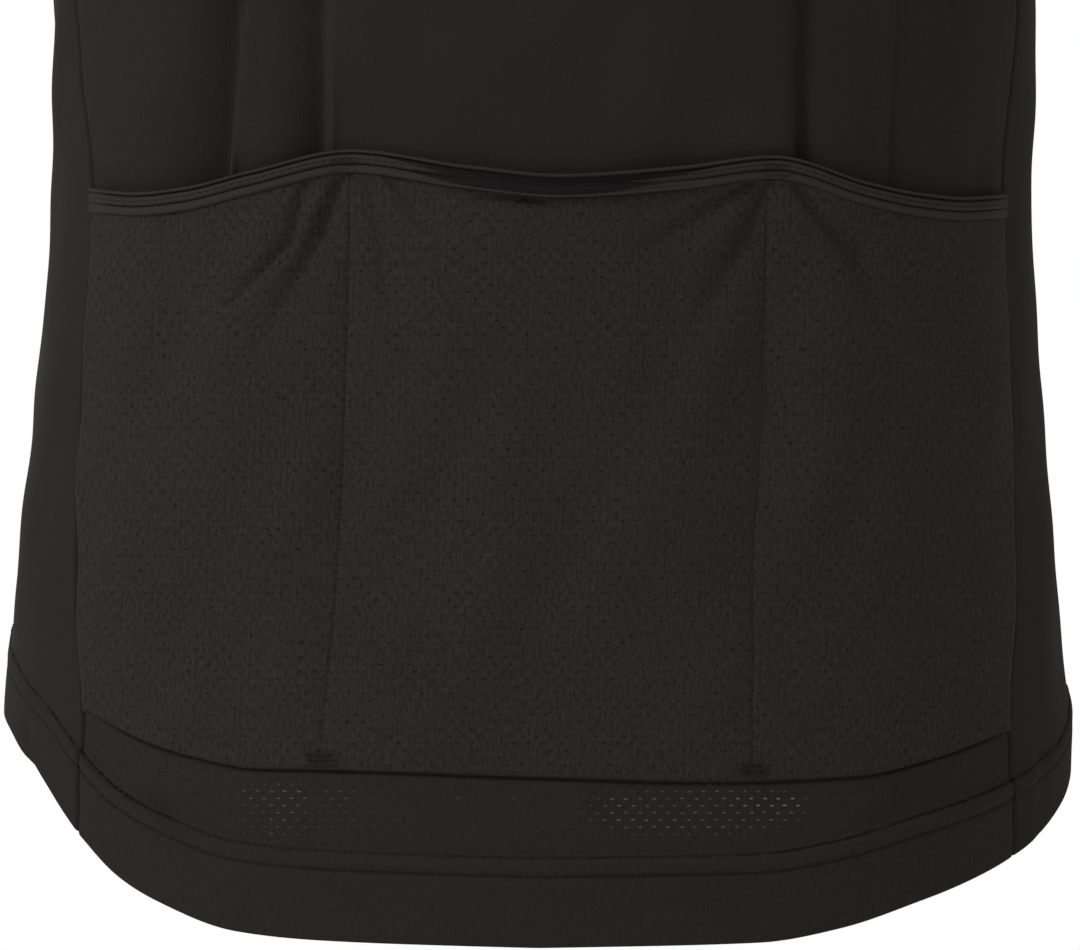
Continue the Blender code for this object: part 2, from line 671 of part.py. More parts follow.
def add_slider(collar_top, axes, metal):
    # two plates joined by a bridge over the strip's end, and an arch that holds the pull
    top = -SLIDER["below_top"]
    foot = top - SLIDER["length"]
    under = top - SLIDER["bridge"]
    near = SLIDER["clear"]
    face = near + SLIDER["plate"]
    far = -ZIP_WALL - SLIDER["clear"]
    rear = far - SLIDER["plate"]
    clip = (
        (foot, face), (top, face), (top, rear), (foot, rear),
        (foot, far), (under, far), (under, near), (foot, near),
    )
    body_object = add_prism("zip_slider", clip, 0.5 * SLIDER["width"], collar_top, axes, metal)
    axis_up = top - SLIDER["axis_below"] + SLIDER["arch_reach"]
    inner = SLIDER["arch_reach"]
    outer = inner + SLIDER["arch"]
    low = face - SLIDER["sink"]
    ceiling = SLIDER["axis_out"] + SLIDER["arch_rise"]
    crown = ceiling + SLIDER["arch"]
    arch = (
        (axis_up - outer, low), (axis_up - outer, crown), (axis_up + outer, crown),
        (axis_up + outer, low), (axis_up + inner, low), (axis_up + inner, ceiling),
        (axis_up - inner, ceiling), (axis_up - inner, low),
    )
    arch_object = add_prism("arch", arch, SLIDER["arch_half"], collar_top, axes, metal)
    join = body_object.modifiers.new("Arch", "BOOLEAN")
    join.operation = "UNION"
    join.object = arch_object
    bpy.context.view_layer.update()
    shown = body_object.evaluated_get(bpy.context.evaluated_depsgraph_get())
    joined = bpy.data.meshes.new_from_object(shown)
    body_object.modifiers.remove(join)
    body_object.data = joined
    bpy.data.objects.remove(arch_object, do_unlink=True)
    add_pull(collar_top + axes[1] * axis_up + axes[2] * SLIDER["axis_out"], metal)


def add_pull(axis, metal):
    # flat tongue with an eye, hanging straight down; its upper rim turns under the slider's arch
    across, up, out = np.array((1.0, 0.0, 0.0)), np.array((0.0, 0.0, 1.0)), np.array((0.0, -1.0, 0.0))
    wide, eye = PULL["half_width"], PULL["eye_half"]
    half_rim = 0.5 * PULL["rim"]
    rows = (
        (half_rim, wide), (-half_rim, wide), (-PULL["eye_end"], wide), (-PULL["neck"], wide),
        (-PULL["shoulder"], wide), (-PULL["end"], PULL["end_half"]),
    )
    mesh = bmesh.new()
    grid = []
    for rise, half in rows:
        places = (-half, -eye, eye, half)
        grid.append([mesh.verts.new(across * place + up * rise) for place in places])
    for row in range(len(rows) - 1):
        for column in range(3):
            if row == 1 and column == 1:
                continue
            low, high = grid[row + 1], grid[row]
            mesh.faces.new((low[column], low[column + 1], high[column + 1], high[column]))
    moved = bmesh.ops.extrude_face_region(mesh, geom=mesh.faces[:])
    corners = [item for item in moved["geom"] if isinstance(item, bmesh.types.BMVert)]
    bmesh.ops.translate(mesh, verts=corners, vec=out * PULL["wall"])
    bmesh.ops.translate(mesh, verts=mesh.verts[:], vec=out * -0.5 * PULL["wall"])
    bmesh.ops.recalc_face_normals(mesh, faces=mesh.faces)
    data = bpy.data.meshes.new("zip_pull")
    mesh.to_mesh(data)
    mesh.free()
    made = add_object("zip_pull", data, metal)
    made.location = axis


def main():
    for old in list(bpy.data.objects):
        bpy.data.objects.remove(old, do_unlink=True)
    cloths = {name: material(name) for name in COLOURS}
    back = back_grid()
    front = front_grid(side_grid(back_seam(back, 1), 1)[:, 0], 1)
    add_panels(back, cloths)
    add_pockets(back, cloths)
    for word, side in SIDES.items():
        add_sleeve(word, side, back, cloths)
    collar = collar_grid()
    add_collar(collar, cloths)
    add_zip(front, collar, cloths)


main()
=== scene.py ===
import math

import bpy
import numpy as np
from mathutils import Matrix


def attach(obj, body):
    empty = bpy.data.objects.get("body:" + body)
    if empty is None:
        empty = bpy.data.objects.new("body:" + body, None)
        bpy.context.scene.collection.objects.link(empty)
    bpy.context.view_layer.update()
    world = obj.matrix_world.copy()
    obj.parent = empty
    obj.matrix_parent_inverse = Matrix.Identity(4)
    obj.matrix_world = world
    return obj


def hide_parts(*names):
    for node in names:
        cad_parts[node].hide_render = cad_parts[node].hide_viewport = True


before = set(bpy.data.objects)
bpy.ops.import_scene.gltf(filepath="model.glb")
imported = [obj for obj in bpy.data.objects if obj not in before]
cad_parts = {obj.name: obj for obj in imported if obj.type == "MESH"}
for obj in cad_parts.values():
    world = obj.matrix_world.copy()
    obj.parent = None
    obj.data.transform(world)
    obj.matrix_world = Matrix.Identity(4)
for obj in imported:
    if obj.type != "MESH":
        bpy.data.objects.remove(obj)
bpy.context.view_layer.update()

# Metres, +Z up. The back faces +Y and +X is the wearer's left. Heights run down from the high
# shoulder point at 0. Angles run round the body from the zip, 0, by the wearer's left, 90, to the
# middle of the back, 180, and on by the right side, 270.
camera = {"distance": 12.0, "across": 0.0, "height": -0.5616, "seen": 0.3618, "face": 0.110}

body = {
    "roundness": 2.3,      # power of the oval that each level is
    "chestMiddle": -0.25,  # height that the upper panels are laid out from
    "rings": (             # height, half width, front depth, back depth, lean to the side
        (-0.7600, 0.1800, 0.1150, 0.1185, 0.0004), (-0.7000, 0.1802, 0.1148, 0.1180, 0.0006),
        (-0.6450, 0.1793, 0.1142, 0.1150, 0.0009), (-0.6040, 0.1765, 0.1130, 0.1122, 0.0012),
        (-0.5370, 0.1705, 0.1110, 0.1080, 0.0004), (-0.4700, 0.1656, 0.1100, 0.1058, -0.0008),
        (-0.4030, 0.1660, 0.1110, 0.1070, -0.0015), (-0.3200, 0.1700, 0.1150, 0.1130, -0.0008),
        (-0.2350, 0.1780, 0.1180, 0.1180, 0.0), (-0.1400, 0.1910, 0.1100, 0.1130, 0.0),
        (-0.0850, 0.1975, 0.0960, 0.1025, 0.0), (-0.0580, 0.1925, 0.0845, 0.0940, 0.0),
        (-0.0400, 0.1760, 0.0740, 0.0860, 0.0), (-0.0250, 0.1430, 0.0630, 0.0780, 0.0),
        (-0.0120, 0.1080, 0.0500, 0.0700, 0.0), (0.0000, 0.0780, 0.0360, 0.0600, 0.0),
        (0.0200, 0.0400, 0.0150, 0.0400, 0.0),
    ),
    "cloth": 0.0009,       # wall of one layer
    "patternLevel": -0.46,  # above it the knit's pattern is laid off along the cloth, below it by height
    "arcRing": (0.172, 0.112),  # half width and depth of the ring that distances round the body use
}
hem = {
    "line": (    # angle, height of the edge on the wearer's left and on the right
        (0.0, -0.6080, -0.6080), (30.0, -0.6110, -0.6140), (60.0, -0.6220, -0.6320),
        (90.0, -0.6410, -0.6580), (100.0, -0.6490, -0.6710), (113.0, -0.6640, -0.6840),
        (123.0, -0.6820, -0.6930), (131.0, -0.6965, -0.6996), (138.0, -0.7050, -0.7050),
        (149.0, -0.7146, -0.7136), (159.0, -0.7175, -0.7183), (180.0, -0.7200, -0.7200),
    ),
    "depths": (  # angle, height of the upper stitch row above the edge on the left and the right
        (0.0, 0.0280, 0.0270), (80.0, 0.0240, 0.0225), (100.0, 0.0242, 0.0222), (121.0, 0.0286, 0.0260),
        (137.0, 0.0298, 0.0285), (150.0, 0.0300, 0.0294), (180.0, 0.0298, 0.0298),
    ),
    "rowGap": 0.0062,    # between the two rows of stitches
    "wall": 0.0019,
    "step": 0.0007,      # how far the turned-up cloth stands above the single layer
    "stitchDip": 0.00075,
    "ridge": 0.00080,
    "under": 0.00090,    # the cloth just below the lower stitches stands out and then falls back
    "sidesFlatter": 0.55,  # share that the rows' relief loses away from the back
    "below": 0.0085,     # where the even rows of the grid end, below the upper stitches
}
armhole = {"middle": -0.1415, "halfHeight": 0.0935, "halfAngle": 30.0, "seamTurn": math.radians(28.0)}
armhole["foot"] = armhole["middle"] - armhole["halfHeight"] * math.cos(armhole["seamTurn"])
armhole["tip"] = armhole["middle"] + armhole["halfHeight"]
armhole["swing"] = armhole["halfAngle"] * math.sin(armhole["seamTurn"])
seams = {
    "side": (    # height, then angles: back seam on the left, front seam, back seam on the right
        (-0.7200, 122.8, 62.0, 119.2), (-0.6830, 122.9, 62.0, 119.4), (-0.6450, 123.8, 62.5, 119.6),
        (-0.6080, 121.0, 63.0, 116.2), (-0.5600, 118.4, 64.0, 113.8), (-0.5070, 116.4, 65.0, 112.0),
        (-0.4650, 115.4, 66.0, 111.7), (-0.4030, 108.8, 68.0, 107.2), (-0.3200, 105.7, 72.0, 105.3),
        (armhole["foot"], 90.0 + armhole["swing"], 90.0 - armhole["swing"], 90.0 + armhole["swing"]),
    ),
    "groove": 0.0012,    # how far the cloth turns in beside a seam
    "reach": 0.0021,     # distance from the seam over which it does
    "pucker": 0.00022,
    "puckerPitch": 0.0110,
}
pocket = {
    "foot": (    # distance across, height of the pockets' bottom seam
        (-0.1570, -0.6476), (-0.1310, -0.6570), (-0.1070, -0.6624), (-0.0580, -0.6644), (0.0000, -0.6628),
        (0.0720, -0.6604), (0.0960, -0.6600), (0.1140, -0.6567), (0.1300, -0.6520), (0.1510, -0.6413),
    ),
    "mouth": (   # distance across, height of the binding's top edge
        (-0.1560, -0.4670), (-0.1390, -0.4681), (-0.1240, -0.4667), (-0.1085, -0.4634), (-0.0777, -0.4544),
        (-0.0469, -0.4580), (-0.0067, -0.4607), (0.0245, -0.4577), (0.0633, -0.4524), (0.0951, -0.4594),
        (0.1176, -0.4651), (0.1330, -0.4666), (0.1500, -0.4651),
    ),
    "dividers": (  # height, distance across on the wearer's left and on the right
        (-0.7200, 0.0760, 0.0710), (-0.6600, 0.0737, 0.0709), (-0.6000, 0.0680, 0.0712),
        (-0.5500, 0.0655, 0.0737), (-0.4600, 0.0635, 0.0762), (armhole["foot"], 0.0850, 0.0850),
    ),
    "share": 0.4545,     # place of the dividers across half of the back
    "fullness": 0.0036,  # how far an empty pocket stands off the back at its mouth
    "wall": 0.0009,
    "rim": 0.0012,       # cloth over the foot seam
    "footDip": 0.0011,   # how far the back is drawn in along the foot seam
    "mouthDip": 0.0004,  # and along the mouth
    "dividerDip": 0.0003,
    "lighterBelow": -0.58,  # behind the pockets the back changes to the lighter mesh
}
band = {
    "width": 0.0080,
    "rows": 44,
    "base": 0.0003,
    "ridges": (    # middle, half width and height of each, from the bottom up, as shares of the width
        (0.190, 0.185, 0.0011), (0.600, 0.205, 0.0018), (0.925, 0.080, 0.0016),
    ),
    "rolled": (    # the same in mid-pocket, where the binding has turned its edges out
        (0.065, 0.070, 0.0021), (0.560, 0.060, 0.0007), (0.930, 0.070, 0.0026),
    ),
    "stitches": 0.600,
    "stitchDip": 0.0005,
}
neck = {"radius": 0.078, "forward": 0.012}
zipper = {"edge": 0.0040}
neck["seam"] = 180.0 - math.degrees(math.acos(neck["forward"] / neck["radius"]))
neck["zip"] = math.degrees(math.asin(zipper["edge"] / neck["radius"]))


def readTable(table, column, at):
    # a cubic through the rows, whose slope at each row is the harmonic mean of the slopes beside it
    knots = np.array([row[0] for row in table])
    values = np.array([row[column] for row in table])
    steps = np.diff(knots)
    slopes = np.diff(values) / steps
    product = slopes[:-1] * slopes[1:]
    total = slopes[:-1] + slopes[1:]
    sameWay = product > 0.0
    inner = np.where(sameWay, 2.0 * product / np.where(sameWay, total, 1.0), 0.0)
    bends = np.concatenate(([slopes[0]], inner, [slopes[-1]]))
    at = np.clip(at, knots[0], knots[-1])
    first = np.clip(np.searchsorted(knots, at) - 1, 0, len(steps) - 1)
    share = (at - knots[first]) / steps[first]
    rest = 1.0 - share
    ends = values[first] * (1.0 + 2.0 * share) * rest ** 2
    ends = ends + values[first + 1] * share ** 2 * (3.0 - 2.0 * share)
    return ends + steps[first] * share * rest * (bends[first] * rest - bends[first + 1] * share)


def smoothStep(low, high, value):
    # 3 s^2 - 2 s^3, with s running from 0 at low to 1 at high
    share = np.clip((value - low) / (high - low), 0.0, 1.0)
    return share * share * (3.0 - 2.0 * share)


def unit(vectors):
    # v / |v|
    return vectors / np.maximum(np.linalg.norm(vectors, axis=-1, keepdims=True), 1e-12)


def ovalPower(value):
    # sign(v) |v|^(2 / roundness)
    return np.sign(value) * np.abs(value) ** (2.0 / body["roundness"])


def ovalAngle(share):
    # arcsin(sign(s) |s|^(r / 2)) in degrees, the way back from ovalPower of a sine
    return np.degrees(np.arcsin(np.sign(share) * np.abs(share) ** (body["roundness"] / 2.0)))


def bodyDepth(behind, height):
    # the level's depth to the back or to the front
    return np.where(behind, readTable(body["rings"], 3, height), readTable(body["rings"], 2, height))


def bodyPoint(around, height):
    # x = lean + half width * sine^(2/r), y = -depth * cosine^(2/r), at each height
    turn = np.radians(around)
    rings = body["rings"]
    depth = bodyDepth(np.cos(turn) <= 0.0, height)
    across = readTable(rings, 4, height) + readTable(rings, 1, height) * ovalPower(np.sin(turn))
    return np.stack((across, -depth * ovalPower(np.cos(turn)), height + 0.0 * turn), axis=-1)


def bodyNormal(around, height):
    # cross product of a small step round the body and a small step up it
    sideways = bodyPoint(around + 0.5, height) - bodyPoint(around - 0.5, height)
    upwards = bodyPoint(around, height + 0.001) - bodyPoint(around, height - 0.001)
    return unit(np.cross(sideways, upwards))


def angleAcross(across, height):
    # 180 - arcsin(((x - lean) / half width)^(r/2)), the angle on the back at a distance across
    share = (across - readTable(body["rings"], 4, height)) / readTable(body["rings"], 1, height)
    return 180.0 - ovalAngle(np.clip(share, -1.0, 1.0))


def besideZip(apart, height):
    # arcsin((x / half width)^(r/2)), the angle from the zip at a distance across the front
    return ovalAngle(apart / readTable(body["rings"], 1, height))


arcAngles = np.linspace(0.0, 360.0, 2881)
arcTurns = np.radians(arcAngles)
arcPoints = np.stack((body["arcRing"][0] * ovalPower(np.sin(arcTurns)),
                      -body["arcRing"][1] * ovalPower(np.cos(arcTurns))), axis=-1)
arcLengths = np.concatenate(([0.0], np.cumsum(np.linalg.norm(np.diff(arcPoints, axis=0), axis=1))))
girth = arcLengths[-1]


def fromBack(around):
    # distance round the ring from the middle of the back, above 0 on the wearer's left
    return 0.5 * girth - np.interp(around, arcAngles, arcLengths)


def fromZip(around):
    # distance round the ring from the zip, above 0 on the wearer's left
    turned = np.mod(around, 360.0)
    return np.where(turned <= 180.0, 0.5, -0.5) * girth - fromBack(turned)


def eitherSide(table, around):
    # a table's left column up to 180 degrees from the zip, and its right one past it
    turned = np.mod(around, 360.0)
    return np.where(turned <= 180.0, readTable(table, 1, turned), readTable(table, 2, 360.0 - turned))


def hemHeight(around):
    # height of the hem's edge
    return eitherSide(hem["line"], around)


def hemDepth(around):
    # height of the upper stitch row above the edge
    return eitherSide(hem["depths"], around)


def neckPoint(direction):
    # halving for the height where |x / half|^r + |y / depth|^r = 1 on the neck's round line
    turn = np.radians(direction)
    across = neck["radius"] * np.sin(turn)
    ahead = -neck["forward"] - neck["radius"] * np.cos(turn)
    low, high = np.full(np.shape(direction), -0.12), np.full(np.shape(direction), 0.012)
    for _ in range(40):
        middle = 0.5 * (low + high)
        depth = bodyDepth(ahead > 0.0, middle)
        reach = np.abs(across / readTable(body["rings"], 1, middle)) ** body["roundness"]
        reach = reach + np.abs(ahead / depth) ** body["roundness"]
        low, high = np.where(reach > 1.0, low, middle), np.where(reach > 1.0, middle, high)
    around = ovalAngle(np.clip(across / readTable(body["rings"], 1, low), -1.0, 1.0))
    return np.where(ahead > 0.0, 180.0 - around, around), low


def patch(foot, top, start, end, rise, run):
    # Coons patch: the ruled surfaces between both pairs of edges, less the one through the corners
    rise, run = rise[:, None, None], run[None, :, None]
    ruled = (1.0 - rise) * foot[None] + rise * top[None] + (1.0 - run) * start[:, None] + run * end[:, None]
    low = (1.0 - run) * foot[0] + run * foot[-1]
    high = (1.0 - run) * top[0] + run * top[-1]
    return ruled - (1.0 - rise) * low - rise * high


def ontoBody(points):
    # halving along each ray from the middle of the chest for |x / half|^r + |y / depth|^r = 1
    middle = np.array((0.0, 0.0, body["chestMiddle"]))
    rings = body["rings"]
    short, long = np.full(points.shape[:-1], 0.5), np.full(points.shape[:-1], 1.6)
    for _ in range(26):
        share = 0.5 * (short + long)
        places = middle + (points - middle) * share[..., None]
        height = places[..., 2]
        across = (places[..., 0] - readTable(rings, 4, height)) / readTable(rings, 1, height)
        depth = bodyDepth(places[..., 1] > 0.0, height)
        out = np.abs(across) ** body["roundness"] + np.abs(places[..., 1] / depth) ** body["roundness"]
        short, long = np.where(out > 1.0, short, share), np.where(out > 1.0, share, long)
    around = ovalAngle(np.clip(across, -1.0, 1.0))
    return np.where(places[..., 1] > 0.0, 180.0 - around, around), height


def upperAngles(foot, top, start, end, rise, run):
    # the patch between four edges of (angle, height), laid onto the body; the edges stay exact
    edges = [bodyPoint(edge[0], edge[1]) for edge in (foot, top, start, end)]
    grids = ontoBody(patch(*edges, rise, run))
    for index, grid in enumerate(grids):
        grid[0], grid[-1], grid[:, 0], grid[:, -1] = foot[index], top[index], start[index], end[index]
    return grids


def armholeLine(turn, way):
    # angle = 90 +- swing * sin t, height = middle - half height * cos t, from the underarm up
    around = 90.0 + way * armhole["halfAngle"] * np.sin(turn)
    return around, armhole["middle"] - armhole["halfHeight"] * np.cos(turn)


def shoulderLine(size):
    # height along the shoulder seam, straight from its tip at size 1 to the neck at the dividers' share
    neckHeight = float(neckPoint(np.array(neck["seam"]))[1])
    share = (1.0 - size) / (1.0 - pocket["share"])
    return armhole["tip"] + (neckHeight - armhole["tip"]) * share


def closeSteps(count, width, ends=(True, True), fine=(0.0003, 0.0007, 0.0012, 0.0018, 0.0026)):
    # even shares of a width from 0 to 1, with a few close ones beside each end that is a seam
    even = np.linspace(0.0, 1.0, count + 1)
    near = np.array(fine) / width
    shares = [even]
    if ends[0]:
        shares.append(near)
    if ends[1]:
        shares.append(1.0 - near)
    return np.unique(np.round(np.concatenate(shares), 7))


# Rows of the turned-up hem as (share of the upper row's height, height added to that).
hemRows = [(0.0, extra) for extra in (0.0, 0.0002, 0.0005, 0.0009, 0.0015, 0.0025)]
hemRows += [(share, -hem["below"] * share) for share in (0.22, 0.36, 0.5, 0.64, 0.77, 0.89)]
hemRows += [(1.0, extra) for extra in (
    -hem["below"], -0.0078, -0.0072, -0.0068, -0.0065, -0.0062, -0.0059, -0.0056, -0.0052, -0.0046, -0.0038,
    -0.0031, -0.0024, -0.0016, -0.0010, -0.0006, -0.0003, 0.0, 0.0003, 0.0006, 0.0010, 0.0016, 0.0024,
    0.0032)]
hemRows = np.array(hemRows)


def hemGrid(around):
    # heights of the hem's rows at each angle: edge + share * depth + extra
    return hemHeight(around) + hemRows[:, :1] * hemDepth(around) + hemRows[:, 1:]


def aboveHem(around, height):
    # height above the upper stitch row
    return height - hemHeight(around) - hemDepth(around)


def clothWall(top):
    # one layer of cloth, thickening to the hem's two within a millimetre at the upper stitch row
    folded = 1.0 - smoothStep(0.0, 0.0010, top)
    return body["cloth"] + (hem["wall"] - body["cloth"]) * folded


def hemProfile(top):
    # over the height above the upper stitches: the fold's step, a dip at both rows and a rise between
    low = top + hem["rowGap"]
    dips = np.exp(-(top / 0.00050) ** 2) + np.exp(-(low / 0.00055) ** 2)
    ridge = np.exp(-((top + 0.5 * hem["rowGap"]) / 0.0023) ** 2)
    under = np.exp(-(np.minimum(low, 0.0) / 0.0075) ** 2) * (top < 0.0)
    step = hem["step"] * (1.0 - smoothStep(0.0002, 0.0016, top))
    return step - hem["stitchDip"] * dips + hem["ridge"] * ridge + hem["under"] * under


def foldLift(folds, along, height, lean=-0.45):
    # valleys and ridges each joined as (sum of lift^4)^(1/4): a valley is depth * exp(0.2 - sqrt(0.04 +
    # (d / w)^2) (1 + 0.45 d / w)), a ridge depth * exp(-(d / w)^2), with w = width (1 + lean sine) and
    # the sine of the turn away from the line, so that one wall is steep
    valley = np.zeros(np.broadcast(along, height).shape)
    ridge = valley.copy()
    for startAlong, startHeight, endAlong, endHeight, width, endWidth, depth, endDepth in folds:
        runAlong, runHeight = endAlong - startAlong, endHeight - startHeight
        fromStart, below = along - startAlong, height - startHeight
        share = (fromStart * runAlong + below * runHeight) / (runAlong ** 2 + runHeight ** 2)
        share = np.clip(share, 0.0, 1.0)
        apart = np.hypot(fromStart - share * runAlong, below - share * runHeight)
        offset = (below * runAlong - fromStart * runHeight) / math.hypot(runAlong, runHeight)
        wide = width + (endWidth - width) * share
        apart = apart / (wide * (1.0 + lean * offset / np.maximum(apart, 1e-6)))
        size = depth + (endDepth - depth) * share
        if min(depth, endDepth) < 0.0:
            valley = valley + (size * np.exp(0.2 - np.sqrt(0.04 + apart ** 2) * (1.0 + 0.45 * apart))) ** 4
        else:
            ridge = ridge + (size * np.exp(-apart ** 2)) ** 4
    return ridge ** 0.25 - valley ** 0.25


def unevenLift(along, height, size, seed):
    # size * mean of ten sine waves, 18 to 75 mm long and each turned its own way
    random = np.random.default_rng(seed)
    turns, waves = random.uniform(0, math.pi, 10), random.uniform(0.018, 0.075, 10)
    phases = random.uniform(0, 6.3, 10)
    lift = 0.0
    for turn, wave, phase in zip(turns, waves, phases):
        turned = along * math.cos(turn) + height * math.sin(turn)
        lift = lift + np.sin(turned * 2.0 * math.pi / wave + phase)
    return size * lift / 4.0


def backLines(rows):
    # fold lines given by distances across the back, turned into distances round it
    lines = np.array(rows)
    for column in (0, 2):
        lines[:, column] = fromBack(angleAcross(lines[:, column], np.full(len(lines), -0.50)))
    return lines


# Folds: distance and height where each starts and ends, width there, and how far it stands out.
folds = {
    "backLeft": backLines((
        (0.1010, -0.2600, 0.1052, -0.4031, 0.0080, 0.0105, -0.0010, -0.0092),
        (0.1052, -0.4031, 0.1108, -0.4700, 0.0105, 0.0110, -0.0092, -0.0105),
        (0.0755, -0.2800, 0.0756, -0.4031, 0.0070, 0.0085, -0.0008, -0.0074),
        (0.0756, -0.4031, 0.0758, -0.4640, 0.0085, 0.0075, -0.0074, -0.0080),
        (0.0960, -0.2800, 0.1000, -0.4031, 0.0020, 0.0026, 0.0004, 0.0018),
        (0.1000, -0.4031, 0.1055, -0.4700, 0.0026, 0.0024, 0.0018, 0.0022),
        (0.0708, -0.3000, 0.0708, -0.4640, 0.0030, 0.0030, 0.0003, 0.0015),
        (0.1500, -0.2450, 0.0500, -0.3050, 0.0120, 0.0200, -0.0046, 0.0000),
        (0.1600, -0.2800, 0.0800, -0.3600, 0.0100, 0.0160, 0.0034, 0.0000),
        (0.0120, -0.1000, 0.0000, -0.3400, 0.0280, 0.0350, -0.0030, 0.0000),
    )),
    "backRight": backLines((
        (-0.0960, -0.2800, -0.0868, -0.4031, 0.0080, 0.0050, -0.0008, -0.0048),
        (-0.0868, -0.4031, -0.0872, -0.4640, 0.0050, 0.0040, -0.0048, -0.0058),
        (-0.1180, -0.3000, -0.1165, -0.4031, 0.0040, 0.0040, 0.0002, 0.0006),
        (-0.1165, -0.4031, -0.1150, -0.4680, 0.0040, 0.0030, 0.0006, 0.0009),
        (-0.1210, -0.3000, -0.1192, -0.4031, 0.0040, 0.0024, -0.0004, -0.0016),
        (-0.1192, -0.4031, -0.1178, -0.4700, 0.0024, 0.0020, -0.0016, -0.0020),
        (-0.1480, -0.4340, -0.1490, -0.4690, 0.0050, 0.0022, 0.0000, -0.0024),
        (-0.1500, -0.2400, -0.0500, -0.3100, 0.0120, 0.0200, -0.0042, 0.0000),
        (-0.1600, -0.2850, -0.0700, -0.3700, 0.0110, 0.0170, 0.0034, 0.0000),
    )),
    "strip": backLines((
        (0.1200, -0.6720, 0.1040, -0.6860, 0.0030, 0.0050, -0.0020, -0.0008),
        (-0.0190, -0.6740, -0.0350, -0.6850, 0.0030, 0.0045, -0.0016, -0.0006),
        (0.0900, -0.6700, 0.0400, -0.6860, 0.0060, 0.0080, 0.0006, 0.0000),
        (-0.1250, -0.6600, -0.1000, -0.6840, 0.0040, 0.0060, -0.0014, 0.0000),
        (0.1600, -0.6500, 0.1500, -0.7000, 0.0050, 0.0080, -0.0018, 0.0000),
        (-0.1580, -0.6550, -0.1560, -0.7000, 0.0050, 0.0080, -0.0014, 0.0000),
    )),
    "pocket": backLines((
        (0.0804, -0.4650, 0.0843, -0.4829, 0.0030, 0.0022, -0.0022, -0.0036),
        (0.0843, -0.4829, 0.1022, -0.5042, 0.0022, 0.0020, -0.0036, -0.0012),
        (0.0692, -0.4640, 0.0748, -0.4801, 0.0024, 0.0040, -0.0030, -0.0032),
        (0.0748, -0.4801, 0.0804, -0.4935, 0.0040, 0.0044, -0.0032, -0.0020),
        (0.0804, -0.4935, 0.0882, -0.5103, 0.0044, 0.0050, -0.0020, -0.0010),
        (0.0882, -0.5103, 0.0995, -0.5280, 0.0050, 0.0050, -0.0010, -0.0004),
        (0.0955, -0.5215, 0.1010, -0.5300, 0.0014, 0.0014, -0.0008, -0.0004),
        (0.0780, -0.4720, 0.0930, -0.5000, 0.0030, 0.0050, 0.0013, 0.0008),
        (0.0920, -0.4740, 0.1130, -0.5150, 0.0050, 0.0080, 0.0008, 0.0000),
        (0.0580, -0.4660, 0.0510, -0.5000, 0.0040, 0.0080, -0.0008, -0.0014),
        (0.0510, -0.5000, 0.0350, -0.5500, 0.0080, 0.0100, -0.0014, 0.0000),
        (0.0500, -0.4640, 0.0290, -0.4860, 0.0040, 0.0080, -0.0018, 0.0000),
        (-0.0700, -0.4640, -0.0590, -0.4701, 0.0018, 0.0026, -0.0024, -0.0028),
        (-0.0590, -0.4701, -0.0270, -0.4910, 0.0026, 0.0060, -0.0028, 0.0000),
        (-0.0740, -0.4660, -0.0683, -0.4791, 0.0018, 0.0032, -0.0022, -0.0034),
        (-0.0683, -0.4791, -0.0470, -0.5200, 0.0032, 0.0075, -0.0034, 0.0000),
        (-0.0650, -0.4710, -0.0500, -0.4930, 0.0024, 0.0044, 0.0009, 0.0003),
        (-0.0850, -0.4650, -0.1039, -0.4885, 0.0020, 0.0050, -0.0018, -0.0038),
        (-0.1039, -0.4885, -0.1180, -0.5250, 0.0050, 0.0085, -0.0038, 0.0000),
        (-0.0940, -0.4680, -0.1240, -0.4950, 0.0030, 0.0060, 0.0008, 0.0000),
        (0.0208, -0.4688, 0.0050, -0.4696, 0.0013, 0.0019, -0.0014, -0.0024),
        (0.0050, -0.4696, -0.0015, -0.4708, 0.0019, 0.0019, -0.0024, -0.0018),
        (0.1250, -0.4800, 0.1150, -0.5600, 0.0100, 0.0140, -0.0010, 0.0000),
        (-0.1330, -0.4900, -0.1280, -0.5700, 0.0080, 0.0120, -0.0014, 0.0000),
    )),
    "front": np.array((
        (0.1500, -0.2450, 0.0450, -0.3350, 0.0130, 0.0180, -0.0058, 0.0000),
        (0.1600, -0.2800, 0.0600, -0.4100, 0.0110, 0.0180, 0.0044, 0.0000),
        (0.1450, -0.3300, 0.0700, -0.5000, 0.0120, 0.0180, -0.0044, 0.0000),
        (0.1200, -0.4200, 0.0800, -0.6000, 0.0120, 0.0120, 0.0031, 0.0014),
        (0.0300, -0.2300, 0.0420, -0.5700, 0.0100, 0.0110, -0.0020, -0.0037),
        (0.0950, -0.0900, 0.0600, -0.2200, 0.0120, 0.0160, -0.0031, 0.0000),
        (-0.1500, -0.2400, -0.0500, -0.3500, 0.0120, 0.0180, -0.0058, 0.0000),
        (-0.1600, -0.2850, -0.0700, -0.3950, 0.0110, 0.0160, 0.0041, 0.0000),
        (-0.1400, -0.3400, -0.0750, -0.5200, 0.0120, 0.0180, -0.0048, 0.0000),
        (-0.1150, -0.4300, -0.0880, -0.6000, 0.0110, 0.0120, 0.0031, 0.0014),
        (-0.0280, -0.2500, -0.0380, -0.5900, 0.0100, 0.0110, -0.0024, -0.0034),
        (-0.0900, -0.0950, -0.0650, -0.2300, 0.0120, 0.0160, -0.0031, 0.0000),
        (0.1900, -0.2600, 0.1800, -0.6000, 0.0100, 0.0140, -0.0037, -0.0010),
        (-0.1850, -0.2600, -0.1900, -0.6100, 0.0100, 0.0140, -0.0034, -0.0014),
    )),
}


